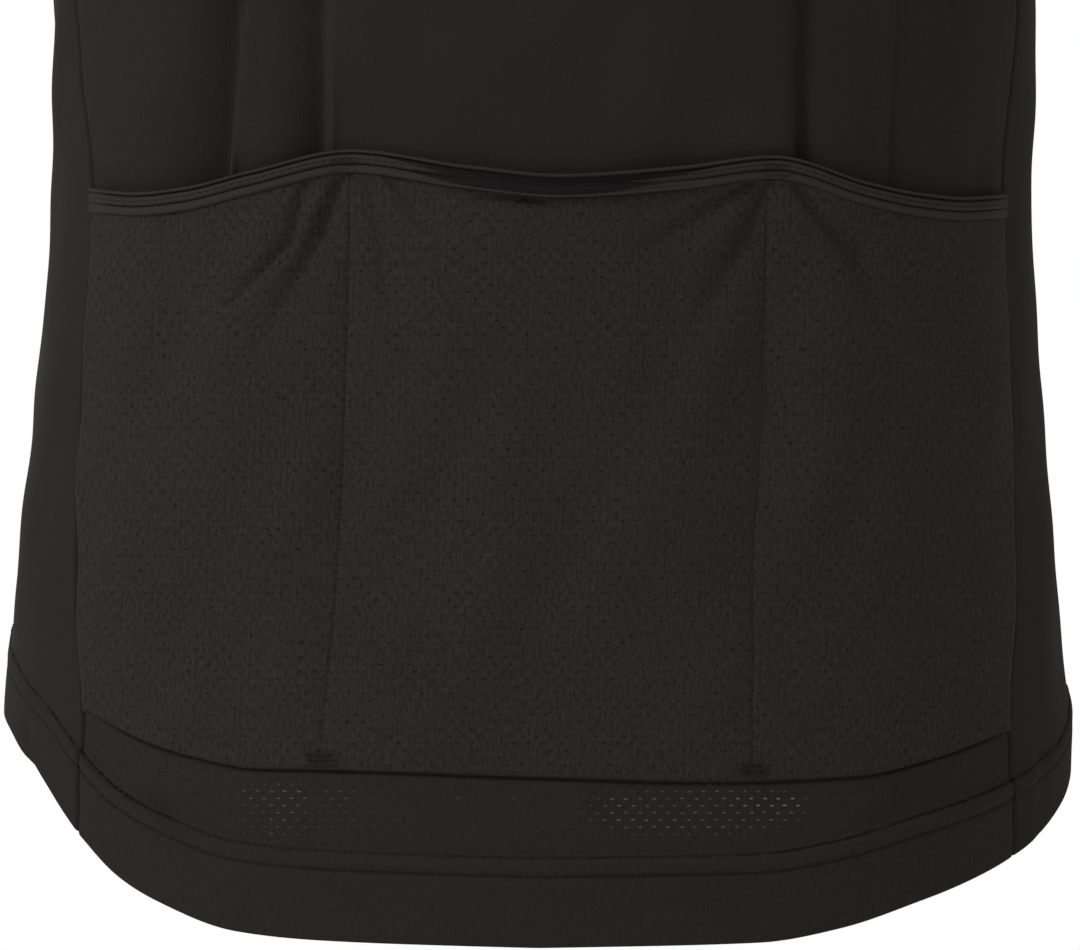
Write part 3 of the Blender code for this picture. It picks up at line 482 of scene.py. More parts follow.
def garmentLift(around, height):
    # how far the cloth stands off the plain body: its folds, an unevenness and the hem
    along = fromBack(np.mod(around, 360.0))
    wide = bodyPoint(around, height)[..., 0]
    mouth = readTable(pocket["mouth"], 1, wide)
    behind = np.cos(np.radians(around)) < -0.35
    showing = np.where(behind, smoothStep(-0.030, -0.002, height - mouth), 1.0)  # 0 behind the pockets
    # inOval is below 1 inside an armhole, round which the cloth lies calm, as it does at the shoulders
    inOval = ((np.mod(around, 360.0) - 90.0) / armhole["halfAngle"]) ** 2
    inOval = np.minimum(inOval, ((np.mod(around, 360.0) - 270.0) / armhole["halfAngle"]) ** 2)
    inOval = inOval + ((height - armhole["middle"]) / armhole["halfHeight"]) ** 2
    calm = smoothStep(1.0, 1.45, inOval) * (1.0 - smoothStep(-0.080, -0.035, height))
    ahead = fromZip(around)
    front = foldLift(folds["front"], ahead, height) * smoothStep(0.004, 0.020, np.abs(ahead))
    back = foldLift(folds["backLeft"], along, height, 0.62) + foldLift(folds["backRight"], along, height)
    back = back * showing + foldLift(folds["strip"], along, height)
    uneven = unevenLift(along, height, 0.0006, 3) * smoothStep(0.004, 0.030, np.abs(ahead))
    plain = (front + back + uneven * (0.4 + 0.6 * showing)) * calm
    foot = readTable(pocket["foot"], 1, wide)
    seamLeft, seamRight = pocket["foot"][-1][0], pocket["foot"][0][0]
    behind = behind * smoothStep(0.0, 0.010, np.minimum(wide - seamRight, seamLeft - wide))
    plain = plain - behind * pocket["footDip"] * np.exp(-((height - foot + 0.0004) / 0.0007) ** 2)
    plain = plain - behind * pocket["mouthDip"] * np.exp(-((height - mouth + 0.0006) / 0.0026) ** 2)
    flat = 1.0 - hem["sidesFlatter"] * smoothStep(-0.62, -0.40, np.cos(np.radians(around)))
    return plain + flat * hemProfile(aboveHem(around, height))


def seamDip(away, depth=seams["groove"]):
    # depth * (1 - smooth step)^2, how far the cloth turns in at a distance from a seam
    return depth * (1.0 - smoothStep(0.0, seams["reach"], away)) ** 2


def rimShare(away, width, least=0.04):
    # sqrt(1 - (1 - d / width)^2), a quarter round beside a free edge, as a share of the wall
    return np.sqrt(np.clip(1.0 - (1.0 - np.clip(away / width, 0.0, 1.0)) ** 2, least, 1.0))


def clothPlace(across, up):
    # distances across the cloth and up it, kept at each point for the knit's pattern to follow
    return {"cloth": np.stack(np.broadcast_arrays(across, up, 0.0 * up), axis=-1)}


def liftedRow(around, height, lift):
    # a line of points on the body + normal * lift, with its normals
    normals = bodyNormal(around, height)
    return bodyPoint(around, height) + normals * lift[:, None], normals


def edgeDistances(points):
    # distance of every grid point from the first and last column and the first and last row
    along = np.linalg.norm(np.diff(points, axis=1), axis=2)
    up = np.linalg.norm(np.diff(points, axis=0), axis=2)
    along = np.concatenate((np.zeros((len(points), 1)), np.cumsum(along, axis=1)), axis=1)
    up = np.concatenate((np.zeros((1, points.shape[1])), np.cumsum(up, axis=0)), axis=0)
    return {"start": along, "end": along[:, -1:] - along, "foot": up, "top": up[-1:] - up}


def makeMesh(name, points, faces, finish, body="garment", replaced=(), marks=None):
    # points (n, 3) and four-sided faces (m, 4) into a smooth mesh, with its values per point
    mesh = bpy.data.meshes.new(name)
    mesh.vertices.add(len(points))
    mesh.vertices.foreach_set("co", np.asarray(points, dtype=np.float32).ravel())
    mesh.loops.add(4 * len(faces))
    mesh.loops.foreach_set("vertex_index", np.asarray(faces, dtype=np.int32).ravel())
    mesh.polygons.add(len(faces))
    mesh.polygons.foreach_set("loop_start", np.arange(0, 4 * len(faces), 4, dtype=np.int32))
    mesh.polygons.foreach_set("use_smooth", np.ones(len(faces), dtype=bool))
    for mark, values in (marks or {}).items():
        kind, field = ("FLOAT_VECTOR", "vector") if np.ndim(values) == 2 else ("FLOAT", "value")
        made = mesh.attributes.new(mark, kind, "POINT")
        made.data.foreach_set(field, np.asarray(values, dtype=np.float32).ravel())
    mesh.update(calc_edges=True)
    mesh.materials.append(finish)
    piece = bpy.data.objects.new(name, mesh)
    bpy.context.scene.collection.objects.link(piece)
    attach(piece, body)
    if replaced:
        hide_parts(*replaced)
    return piece


def gridFaces(rows, columns, ring, offset=0):
    # the four corners of every cell of a grid, in the grid's own way round
    row = np.arange(rows - 1)[:, None]
    column = np.arange(columns if ring else columns - 1)[None, :]
    after = (column + 1) % columns
    low, high = row * columns, (row + 1) * columns
    corners = [low + column, low + after, high + after, high + column]
    return offset + np.stack(np.broadcast_arrays(*corners), axis=-1).reshape(-1, 4)


def clothShell(name, outer, normals, wall, finish, replaced, marks, ring=False):
    # outer face, the same face moved in along the normals by the wall, and rims between the two
    rows, columns = outer.shape[:2]
    inner = outer - normals * np.broadcast_to(wall, outer.shape[:2])[..., None]
    count = rows * columns
    faces = [gridFaces(rows, columns, ring), gridFaces(rows, columns, ring, count)[:, ::-1]]
    first = np.arange(columns if ring else columns - 1)
    after = (first + 1) % columns
    last = (rows - 1) * columns
    faces.append(np.stack((after, first, first + count, after + count), axis=-1))
    faces.append(np.stack((last + first, last + after, last + after + count, last + first + count), axis=-1))
    if not ring:
        low = np.arange(rows - 1) * columns
        high = low + columns
        faces.append(np.stack((low, high, high + count, low + count), axis=-1))
        low, high = low + columns - 1, high + columns - 1
        faces.append(np.stack((high, low, low + count, high + count), axis=-1))
    points = np.concatenate((outer.reshape(-1, 3), inner.reshape(-1, 3)))
    both = {}
    for mark, values in marks.items():
        flat = values.reshape(count, -1) if values.ndim == 3 else values.reshape(count)
        both[mark] = np.concatenate((flat, flat))
    return makeMesh(name, points, np.concatenate(faces), finish, replaced=replaced, marks=both)


def gridNormals(points, ring=False):
    # cross product of the ways along the grid's columns and up its rows
    if ring:
        wide = np.concatenate((points[:, -1:], points, points[:, :1]), axis=1)
        sideways = wide[:, 2:] - wide[:, :-2]
    else:
        sideways = np.gradient(points, axis=1)
    return unit(np.cross(sideways, np.gradient(points, axis=0)))


def bodyPanel(name, around, height, finish, slot, origin, extra=None):
    # body surface + normal * (lift - the turn at seams), a closed wall with a rounded edge at the hem
    plain, normals = bodyPoint(around, height), bodyNormal(around, height)
    away = edgeDistances(plain)
    side = np.minimum(away["start"], away["end"])
    pucker = seams["pucker"] * np.exp(-side / 0.006) * (1.0 - np.exp(-side / 0.0012))
    pucker = pucker * np.sin(height * 2.0 * math.pi / seams["puckerPitch"] + 3.0 * np.sin(height * 61.0))
    rise = garmentLift(around, height) + pucker - seamDip(np.minimum(side, away["top"]))
    wall = clothWall(aboveHem(around, height))
    rounding = rimShare(away["foot"], 0.0010)
    outer = plain + normals * (rise - 0.5 * wall * (1.0 - rounding))[..., None]
    level = int(np.argmin(np.abs(height.mean(axis=1) - body["patternLevel"])))
    column = {"middle": plain.shape[1] // 2, "start": 0, "end": plain.shape[1] - 1}[origin]
    across = away["start"] - away["start"][:, column:column + 1]
    up = np.where(np.arange(len(plain))[:, None] > level,
                  height[level] + away["foot"] - away["foot"][level], height)
    marks = {**clothPlace(across, up), **(extra or {})}
    return clothShell(name, outer, normals, wall * rounding, finish, (name,), marks)


def secondFinish(piece, finish, cells, layers):
    # another finish on the marked cells of the outer layer, or of the outer and the inner one
    piece.data.materials.append(finish)
    cells = cells[:-1, :-1].reshape(-1)
    index = np.zeros(len(piece.data.polygons), dtype=np.int32)
    index[:layers * len(cells)] = np.tile(cells, layers)
    piece.data.polygons.foreach_set("material_index", index)


def backAcross(size, height):
    # distance across at a size from -1, the right seam, to 1, straight between seams and dividers
    share = pocket["share"]
    left = bodyPoint(readTable(seams["side"], 1, height), height)[..., 0]
    right = bodyPoint(360.0 - readTable(seams["side"], 3, height), height)[..., 0]
    leftLine = readTable(pocket["dividers"], 1, height)
    rightLine = -readTable(pocket["dividers"], 2, height)
    places = right + np.clip((size + 1.0) / (1.0 - share), 0.0, 1.0) * (rightLine - right)
    places = places + np.clip((size + share) / (2.0 * share), 0.0, 1.0) * (leftLine - rightLine)
    return places + np.clip((size - share) / (1.0 - share), 0.0, 1.0) * (left - leftLine)


def upperRows(count, length):
    # shares from 0 to 1 with close rows at the top, where the panel meets a seam
    return closeSteps(count, length, (False, True))


def backGrid(columns):
    # angles and heights: the hem's rows, straight lines from them to the foot seam, the mouth and the
    # underarm, and the patch above
    creases = np.array((0.73, 0.52, -0.53, -0.745))[:, None] + np.linspace(-0.035, 0.035, 15)
    size = np.unique(np.concatenate((2.0 * closeSteps(columns, 0.42) - 1.0, creases.reshape(-1))))
    strips = (("foot", closeSteps(12, 0.025, (False, True))[1:]), ("mouth", closeSteps(12, 0.19)[1:]),
              ("underarm", closeSteps(72, 0.24, (True, False), (0.0006, 0.0012, 0.0018, 0.0024))[1:]))
    rows = len(hemRows) + sum(len(shares) for _, shares in strips)
    height = np.full((rows, len(size)), -0.6)
    for _ in range(5):
        across = backAcross(size[None, :] + 0.0 * height, height)
        around = angleAcross(across, height)
        hemPart = hemGrid(around[:len(hemRows)])
        parts, low, start = [hemPart], hemPart[-1], len(hemRows)
        for word, shares in strips:
            places = across[start + len(shares) - 1]
            high = np.full(len(size), armhole["foot"])
            if word != "underarm":
                high = readTable(pocket[word], 1, places)
            parts.append(low + shares[:, None] * (high - low))
            low, start = high, start + len(shares)
        height = np.concatenate(parts)
    around = angleAcross(backAcross(size[None, :] + 0.0 * height, height), height)
    rise = upperRows(62, 0.20)
    turn = armhole["seamTurn"] + rise * (math.pi - armhole["seamTurn"])
    armAround, armHeight = armholeLine(turn, 1.0)
    direction = 180.0 - (180.0 - neck["seam"]) * np.clip(size / pocket["share"], -1.0, 1.0)
    neckAround, top = neckPoint(direction)
    top = np.where(np.abs(size) > pocket["share"], shoulderLine(np.abs(size)), top)
    upper = upperAngles((around[-1], height[-1]), (neckAround, top), (360.0 - armAround, armHeight),
                        (armAround, armHeight), rise, 0.5 * (size + 1.0))
    return np.concatenate((around, upper[0][1:])), np.concatenate((height, upper[1][1:]))


def mirrored(around, height, side):
    # the wearer's right side: angles 360 - a, with the columns turned about
    return (around, height) if side > 0 else ((360.0 - around)[:, ::-1], height[:, ::-1])


def sideGrid(columns, side):
    # angles straight between the two seams; heights from the hem to the underarm
    run = closeSteps(columns, 0.10)
    shares = closeSteps(150, 0.40, (False, True))[1:]
    height = np.linspace(-0.64, armhole["foot"], len(hemRows) + len(shares))[:, None] + 0.0 * run
    for _ in range(6):
        back = readTable(seams["side"], 1 if side > 0 else 3, height)
        front = readTable(seams["side"], 2, height)
        around = front + (back - front) * run
        hemPart = hemGrid((around if side > 0 else 360.0 - around)[:len(hemRows)])
        turn = np.arcsin(np.clip((around[-1] - 90.0) / armhole["halfAngle"], -1.0, 1.0))
        tops = armhole["middle"] - armhole["halfHeight"] * np.cos(turn)
        height = np.concatenate((hemPart, hemPart[-1] + shares[:, None] * (tops - hemPart[-1])))
    return mirrored(around, height, side)


def frontGrid(columns, side):
    # angles straight from the zip to the front seam, hem rows and even rows, then the patch
    run = closeSteps(columns, 0.20)
    shares = np.linspace(0.0, 1.0, 121)[1:]
    height = np.linspace(-0.60, armhole["foot"], len(hemRows) + len(shares))[:, None] + 0.0 * run
    for _ in range(5):
        start = besideZip(zipper["edge"], height)
        around = start + (readTable(seams["side"], 2, height) - start) * run
        hemPart = hemGrid((around if side > 0 else 360.0 - around)[:len(hemRows)])
        height = np.concatenate((hemPart, hemPart[-1] + shares[:, None] * (armhole["foot"] - hemPart[-1])))
    rise = upperRows(60, 0.20)
    turn = armhole["seamTurn"] + rise * (math.pi - armhole["seamTurn"])
    toNeck = np.clip(run / pocket["share"], 0.0, 1.0)
    neckAround, top = neckPoint(neck["zip"] + (neck["seam"] - neck["zip"]) * toNeck)
    zipHeights = armhole["foot"] + rise * (top[0] - armhole["foot"])
    zipAround = besideZip(zipper["edge"], zipHeights)
    top = np.where(run > pocket["share"], shoulderLine(run), top)
    upper = upperAngles((around[-1], height[-1]), (neckAround, top), (zipAround, zipHeights),
                        armholeLine(turn, -1.0), rise, run)
    return mirrored(np.concatenate((around, upper[0][1:])), np.concatenate((height, upper[1][1:])), side)


def pocketFace(size, rise):
    # angle, height and lift of the pockets' outer face: rise is 0 at the foot seam, 1 at the binding
    # and 2 at the mouth; between dividers the lift is a half wave, fullness * wave * rise^0.7
    size, rise = np.broadcast_arrays(size, rise)
    height = np.full(size.shape, -0.58)
    for _ in range(5):
        across = backAcross(size, height)
        foot = readTable(pocket["foot"], 1, across)
        low = readTable(pocket["mouth"], 1, across) - band["width"]
        height = foot + np.minimum(rise, 1.0) * (low - foot) + np.clip(rise - 1.0, 0.0, 1.0) * band["width"]
    around = angleAcross(across, height)
    share, wide = pocket["share"], np.abs(size)
    middle = np.cos(0.5 * math.pi * np.minimum(wide / share, 1.0))
    outer = np.sin(math.pi * np.clip((wide - share) / (1.0 - share), 0.0, 1.0))
    wave = np.where(wide > share, outer, middle)
    full = pocket["fullness"] * wave ** 0.85 * np.clip(rise * 1.25, 0.0, 1.0) ** 0.7
    along = fromBack(around)
    near = np.minimum(rise, 1.0)
    lift = 0.0004 + pocket["wall"] + full + foldLift(folds["pocket"], along, height) * (rise <= 1.0)
    lift = lift + unevenLift(along, height, 0.0009, 11) * near * (1.0 - near) * 4.0
    left = across - readTable(pocket["dividers"], 1, height)
    right = across + readTable(pocket["dividers"], 2, height)
    dips = np.exp(-(left / 0.0006) ** 2) + np.exp(-(right / 0.0006) ** 2)
    dips = dips + 0.5 * (np.exp(-(left / 0.0030) ** 2) + np.exp(-(right / 0.0030) ** 2))
    lift = lift - pocket["dividerDip"] * dips * (rise <= 1.0)
    return around, height, lift


def bandLift(size, share):
    # base + the highest of height * sqrt(1 - ((share - middle) / half)^2), blended to the rolled part
    across = backAcross(size, -0.4650)
    lifts = []
    for ridges in (band["ridges"], band["rolled"]):
        lift = 0.0 * share
        for middle, half, high in ridges:
            lift = np.maximum(lift, high * np.sqrt(np.clip(1.0 - ((share - middle) / half) ** 2, 0.0, 1.0)))
        lifts.append(lift)
    turned = np.exp(-((across + 0.0080) / 0.0420) ** 4)
    dip = band["stitchDip"] * np.exp(-((share - band["stitches"]) / 0.045) ** 2)
    return band["base"] + lifts[0] + turned * (lifts[1] - lifts[0]) - dip


def threadRow(path, normals, pitch, length, width, lean):
    # spindles every pitch along the path: centre + tangent * l * t + (normal * sine + side * cosine) * r
    apart = np.concatenate(([0.0], np.cumsum(np.linalg.norm(np.diff(path, axis=0), axis=1))))
    places = np.arange(0.5 * pitch, apart[-1], pitch)
    centre, ahead, before = [
        np.stack([np.interp(places + shift, apart, path[:, axis]) for axis in range(3)], axis=-1)
        for shift in (0.0, 0.0004, -0.0004)]
    out = unit(np.stack([np.interp(places, apart, normals[:, axis]) for axis in range(3)], axis=-1))
    tangent = unit(ahead - before)
    tangent = unit(tangent + lean * unit(np.cross(out, tangent)))
    side = unit(np.cross(out, tangent))
    stations = np.array((-0.5, -0.32, 0.0, 0.32, 0.5)) * length
    radii = np.array((0.30, 0.85, 1.0, 0.85, 0.30)) * 0.5 * width
    rise = np.array((-0.55, 0.15, 0.35, 0.15, -0.55)) * width  # both ends sink into the cloth
    turns = np.arange(6) * math.pi / 3.0
    points = centre[:, None, None] + tangent[:, None, None] * stations[None, :, None, None]
    points = points + out[:, None, None] * (rise[:, None] + radii[:, None] * np.sin(turns))[None, ..., None]
    points = points + side[:, None, None] * (radii[:, None] * np.cos(turns))[None, ..., None]
    cell = gridFaces(5, 6, True)[:, ::-1]
    caps = np.array(((0, 1, 2, 3), (0, 3, 4, 5), (27, 26, 25, 24), (29, 28, 27, 24)))
    cell = np.concatenate((cell, caps))
    return points.reshape(-1, 3), (np.arange(len(places))[:, None, None] * 30 + cell[None]).reshape(-1, 4)


def threads(name, rows, stitch, finish, lean=0.0):
    # several rows of stitches as one piece; each row is a path with its normals
    points, faces, count = [], [], 0
    for path, normals in rows:
        made, cells = threadRow(path, normals, stitch["pitch"], stitch["length"], stitch["width"], lean)
        points.append(made)
        faces.append(cells + count)
        count += len(made)
    return makeMesh(name, np.concatenate(points), np.concatenate(faces), finish)


def hexColour(text):
    # each channel of an sRGB hex value turned linear: ((v + 0.055) / 1.055)^2.4
    values = [int(text[at:at + 2], 16) / 255.0 for at in (1, 3, 5)]
    return (*[v / 12.92 if v <= 0.04045 else ((v + 0.055) / 1.055) ** 2.4 for v in values], 1.0)


def addNode(tree, kind, settings=None, inputs=None, output=0):
    # one node with its settings, its inputs as values or links, and the socket that the next one takes
    node = tree.nodes.new("ShaderNode" + kind)
    for key, value in (settings or {}).items():
        setattr(node, key, value)
    for key, value in (inputs or {}).items():
        if isinstance(value, bpy.types.NodeSocket):
            tree.links.new(value, node.inputs[key])
        else:
            node.inputs[key].default_value = value
    return node.outputs[output] if node.outputs else None


def newFinish(name):
    # an empty material and its node tree
    finish = bpy.data.materials.new(name)
    finish.use_nodes = True
    tree = finish.node_tree
    tree.nodes.clear()
    return finish, tree


def holeMask(tree, place, fuzz, cell, hole, low, high):
    # 1 within low of a hole's middle and 0 past high, as shares of its half size and roughened by the
    # fuzz; every other row of cells is moved across by half a cell
    scaled = addNode(tree, "VectorMath", {"operation": "MULTIPLY"},
                     {0: place, 1: (1.0 / cell[0], 1.0 / cell[1], 0.0)})
    grid = addNode(tree, "SeparateXYZ", inputs={0: scaled}).node.outputs
    row = addNode(tree, "Math", {"operation": "FLOOR"}, {0: grid["Y"]})
    half = addNode(tree, "Math", {"operation": "MULTIPLY"}, {0: row, 1: 0.5})
    half = addNode(tree, "Math", {"operation": "FRACT"}, {0: half})
    moved = addNode(tree, "Math", {"operation": "ADD"}, {0: grid["X"], 1: half})
    cells = addNode(tree, "CombineXYZ", inputs={0: moved, 1: grid["Y"]})
    inside = addNode(tree, "VectorMath", {"operation": "FRACTION"}, {0: cells})
    inside = addNode(tree, "VectorMath", {"operation": "SUBTRACT"},
                     {0: inside, 1: (0.5, 0.5, 0.0)})
    inside = addNode(tree, "VectorMath", {"operation": "MULTIPLY"},
                     {0: inside, 1: (2.0 * cell[0] / hole[0], 2.0 * cell[1] / hole[1], 0.0)})
    apart = addNode(tree, "VectorMath", {"operation": "LENGTH"}, {0: inside}, output="Value")
    apart = addNode(tree, "Math", {"operation": "MULTIPLY_ADD"},
                    {0: fuzz, 1: 0.9, 2: apart})
    return addNode(tree, "MapRange", {"interpolation_type": "SMOOTHSTEP"},
                   {"Value": apart, "From Min": low, "From Max": high, "To Min": 1.0, "To Max": 0.0})


def knitFinish(name, look):
    # warp knit of polyester: matt, with fine upright wales, loop rows, and holes where it is a mesh
    finish, tree = newFinish(name)
    place = addNode(tree, "Attribute", {"attribute_name": "cloth"}, output="Vector")
    parts = addNode(tree, "SeparateXYZ", inputs={0: place}).node.outputs
    wander = addNode(tree, "TexNoise", {"noise_dimensions": "2D"},
                     {"Vector": place, "Scale": 26.0, "Detail": 3.0, "Roughness": 0.55})
    drawn = addNode(tree, "VectorMath", {"operation": "MULTIPLY"},
                    {0: place, 1: (1.0, look["fuzzDraw"], 1.0)})
    fuzz = addNode(tree, "TexNoise", {"noise_dimensions": "2D"},
                   {"Vector": drawn, "Scale": look["fuzzScale"], "Detail": 2.0, "Roughness": 0.7})
    shift = addNode(tree, "TexNoise", {"noise_dimensions": "2D"},
                    {"Vector": place, "Scale": 210.0, "Detail": 1.0}, output=1)
    shift = addNode(tree, "VectorMath", {"operation": "SUBTRACT"}, {0: shift, 1: (0.5, 0.5, 0.5)})
    astray = addNode(tree, "VectorMath", {"operation": "MULTIPLY_ADD"},
                     {0: shift, 1: (look["stray"], 0.6 * look["stray"], 0.0), 2: place})
    patches = addNode(tree, "TexNoise", {"noise_dimensions": "2D"},
                      {"Vector": place, "Scale": 190.0, "Detail": 2.0})
    turns = addNode(tree, "Math", {"operation": "MULTIPLY"},
                    {0: parts["X"], 1: 2.0 * math.pi / look["wale"]})
    wales = addNode(tree, "Math", {"operation": "SINE"}, {0: turns})
    fuzzTone = addNode(tree, "Math", {"operation": "SUBTRACT"}, {0: fuzz, 1: 0.5})
    height, tone = 0.5, 0.5 - 0.5 * look["wander"]
    for part, amount in ((wales, look["waleHeight"]), (fuzz, look["fuzzHeight"])):
        height = addNode(tree, "Math", {"operation": "MULTIPLY_ADD"}, {0: part, 1: amount, 2: height})
    for part, amount in ((wander, look["wander"]), (wales, look["waleTone"]), (fuzzTone, look["fuzzTone"])):
        tone = addNode(tree, "Math", {"operation": "MULTIPLY_ADD"}, {0: part, 1: amount, 2: tone})
    colour = addNode(tree, "Mix", {"data_type": "RGBA", "clamp_factor": True},
                     {0: tone, 6: hexColour(look["dark"]), 7: hexColour(look["light"])}, output=2)
    for key, low, high in look["holes"]:
        mask = holeMask(tree, astray, fuzz, *look["cells"][key], low, high)
        if key == "open":
            # painted daylight: the open holes turn pale where the mark says light shows through, patchy by
            # the wander noise
            paintedLightShare = addNode(tree, "Attribute", {"attribute_name": "paintedDaylight"}, output="Fac")
            patchy = addNode(tree, "MapRange", {"interpolation_type": "SMOOTHSTEP"},
                             {"Value": wander, "From Min": 0.42, "From Max": 0.58, "To Min": 0.15})
            paintedLightShare = addNode(tree, "Math", {"operation": "MULTIPLY"}, {0: paintedLightShare, 1: patchy})
            mask = addNode(tree, "Math", {"operation": "MULTIPLY"}, {0: mask, 1: paintedLightShare})
            colour = addNode(tree, "Mix", {"data_type": "RGBA"},
                             {0: mask, 6: colour, 7: hexColour(look["behind"])}, output=2)
        else:
            uneven = addNode(tree, "MapRange", inputs={
                "Value": patches, "From Min": 0.35, "From Max": 0.65,
                "To Min": 0.15 * look["holeTone"], "To Max": look["holeTone"]})
            strength = addNode(tree, "Math", {"operation": "MULTIPLY"}, {0: mask, 1: uneven})
            colour = addNode(tree, "Mix", {"data_type": "RGBA"},
                             {0: strength, 6: colour, 7: hexColour(look["hole"])}, output=2)
            height = addNode(tree, "Math", {"operation": "MULTIPLY_ADD"},
                             {0: mask, 1: -look["holeDepth"], 2: height})
    bump = addNode(tree, "Bump", inputs={"Height": height, "Distance": look["bump"], "Strength": 1.0})
    shader = addNode(tree, "BsdfPrincipled", inputs={
        "Base Color": colour, "Normal": bump, "Roughness": look["roughness"],
        "Sheen Weight": look["sheen"], "Sheen Roughness": 0.45, "Specular IOR Level": look["gloss"]})
    addNode(tree, "OutputMaterial", inputs={"Surface": shader})
    return finish


def plainFinish(name, look):
    # thread, tape, coil or enamelled metal: fine grain in its colour and surface
    finish, tree = newFinish(name)
    place = addNode(tree, "TexCoord", output="Object")
    grain = addNode(tree, "TexNoise", inputs={"Vector": place, "Scale": look["grain"], "Detail": 3.0})
    colour = addNode(tree, "Mix", {"data_type": "RGBA"},
                     {0: grain, 6: hexColour(look["dark"]), 7: hexColour(look["light"])}, output=2)
    bump = addNode(tree, "Bump", inputs={"Height": grain, "Distance": look["bump"], "Strength": 1.0})
    shader = addNode(tree, "BsdfPrincipled", inputs={
        "Base Color": colour, "Normal": bump, "Roughness": look["roughness"],
        "Metallic": look["metallic"]})
    addNode(tree, "OutputMaterial", inputs={"Surface": shader})
    return finish


def clothLook(**changes):
    # a knit's values: sizes in metres, tones as shares of the way from its dark colour to its light one
    look = {"wale": 0.0011, "waleHeight": 0.04, "waleTone": 0.03, "fuzzScale": 900.0, "fuzzHeight": 0.25,
            "fuzzTone": 0.55, "fuzzDraw": 1.0, "stray": 0.0011, "wander": 0.30, "holes": (), "cells": {},
            "bump": 0.0003, "roughness": 0.92, "sheen": 0.02, "gloss": 0.16, "holeTone": 0.75,
            # behind is the pale colour painted into open holes as daylight seen through them
            "holeDepth": 0.55, "hole": "#151413", "behind": "#8f8d89"}
    look.update(changes)
    return look


# stitches: one per pitch, each a thread of this length and width
hemStitch = {"pitch": 0.0017, "length": 0.00120, "width": 0.00052}
dividerStitch = {"pitch": 0.0024, "length": 0.0012, "width": 0.00030}
tackStitch = {"pitch": 0.0008, "length": 0.0012, "width": 0.00050}
bandStitch = {"pitch": 0.0030, "length": 0.0019, "width": 0.00040}
meshCells = {
    "mesh": ((0.00490, 0.00240), (0.00180, 0.00070)),  # cell and hole, width and height
    "open": ((0.00470, 0.00238), (0.00180, 0.00064)),
}
finishes = {
    # smooth warp knit of polyester, matt, with soft fold shading and hardly any visible loop
    "backKnit": knitFinish("SmoothWarpKnit", clothLook(
        dark="#262423", light="#312e2d", fuzzTone=1.1)),
    # raised warp-knit mesh: rows of small dark holes set like bricks between upright wales
    "meshKnit": knitFinish("PocketMeshKnit", clothLook(
        dark="#242120", light="#3a3736", wale=0.00139, waleTone=0.035, fuzzDraw=0.42, fuzzTone=1.5,
        wander=0.2, cells=meshCells, holeTone=0.95, holes=(("mesh", 0.66, 1.55),))),
    # the same mesh in a lighter weight, with painted daylight: a pale colour in the holes stands in for light
    # seen through them where nothing lies behind
    "stripKnit": knitFinish("LightMeshKnit", clothLook(
        dark="#262322", light="#33302e", wale=0.00139, fuzzDraw=0.5, fuzzTone=1.2, wander=0.2,
        cells=meshCells, holeTone=0.16,
        holes=(("mesh", 0.75, 1.55), ("open", 0.80, 1.45)))),
    # smoother side knit with a slight olive cast
    "sideKnit": knitFinish("SmoothSideKnit", clothLook(
        dark="#2a2725", light="#33302c", fuzzTone=1.0, sheen=0.01, gloss=0.08)),
    # folded elastic binding: denser, with close upright ribs
    "elastic": knitFinish("RibbedElasticBinding", clothLook(
        dark="#302d2b", light="#3e3b38", wale=0.0009, waleHeight=0.06, fuzzTone=0.9)),
    # painted shade: the same elastic in a darker colour that stands in for the shade of its own fold, where
    # the two rolled edges meet
    "elasticPaintedShade": knitFinish("BindingPaintedShade", clothLook(
        dark="#1d1a1a", light="#272323", wale=0.0009, waleHeight=0.06, fuzzTone=0.9)),
    # spun polyester sewing thread in the cloth's dark colour, made darker still as painted shade for the
    # shade that it lies in
    "thread": plainFinish("PolyesterThreadPaintedShade", {
        "dark": "#131111", "light": "#1b1918", "grain": 2500.0, "bump": 0.00003,
        "roughness": 0.9, "metallic": 0.0}),
    # woven zip tape and moulded coil, both black
    "tape": plainFinish("WovenZipTape", {
        "dark": "#161616", "light": "#1f1f1f", "grain": 1400.0, "bump": 0.00008,
        "roughness": 0.8, "metallic": 0.0}),
    "coil": plainFinish("MouldedNylonCoil", {
        "dark": "#121213", "light": "#1a1a1b", "grain": 500.0, "bump": 0.00002,
        "roughness": 0.42, "metallic": 0.0}),
    # zinc casting under satin black enamel
    "metal": plainFinish("BlackEnamelledZinc", {
        "dark": "#161618", "light": "#1d1d1f", "grain": 700.0, "bump": 0.00001,
        "roughness": 0.36, "metallic": 0.7}),
}
print("finishes made")


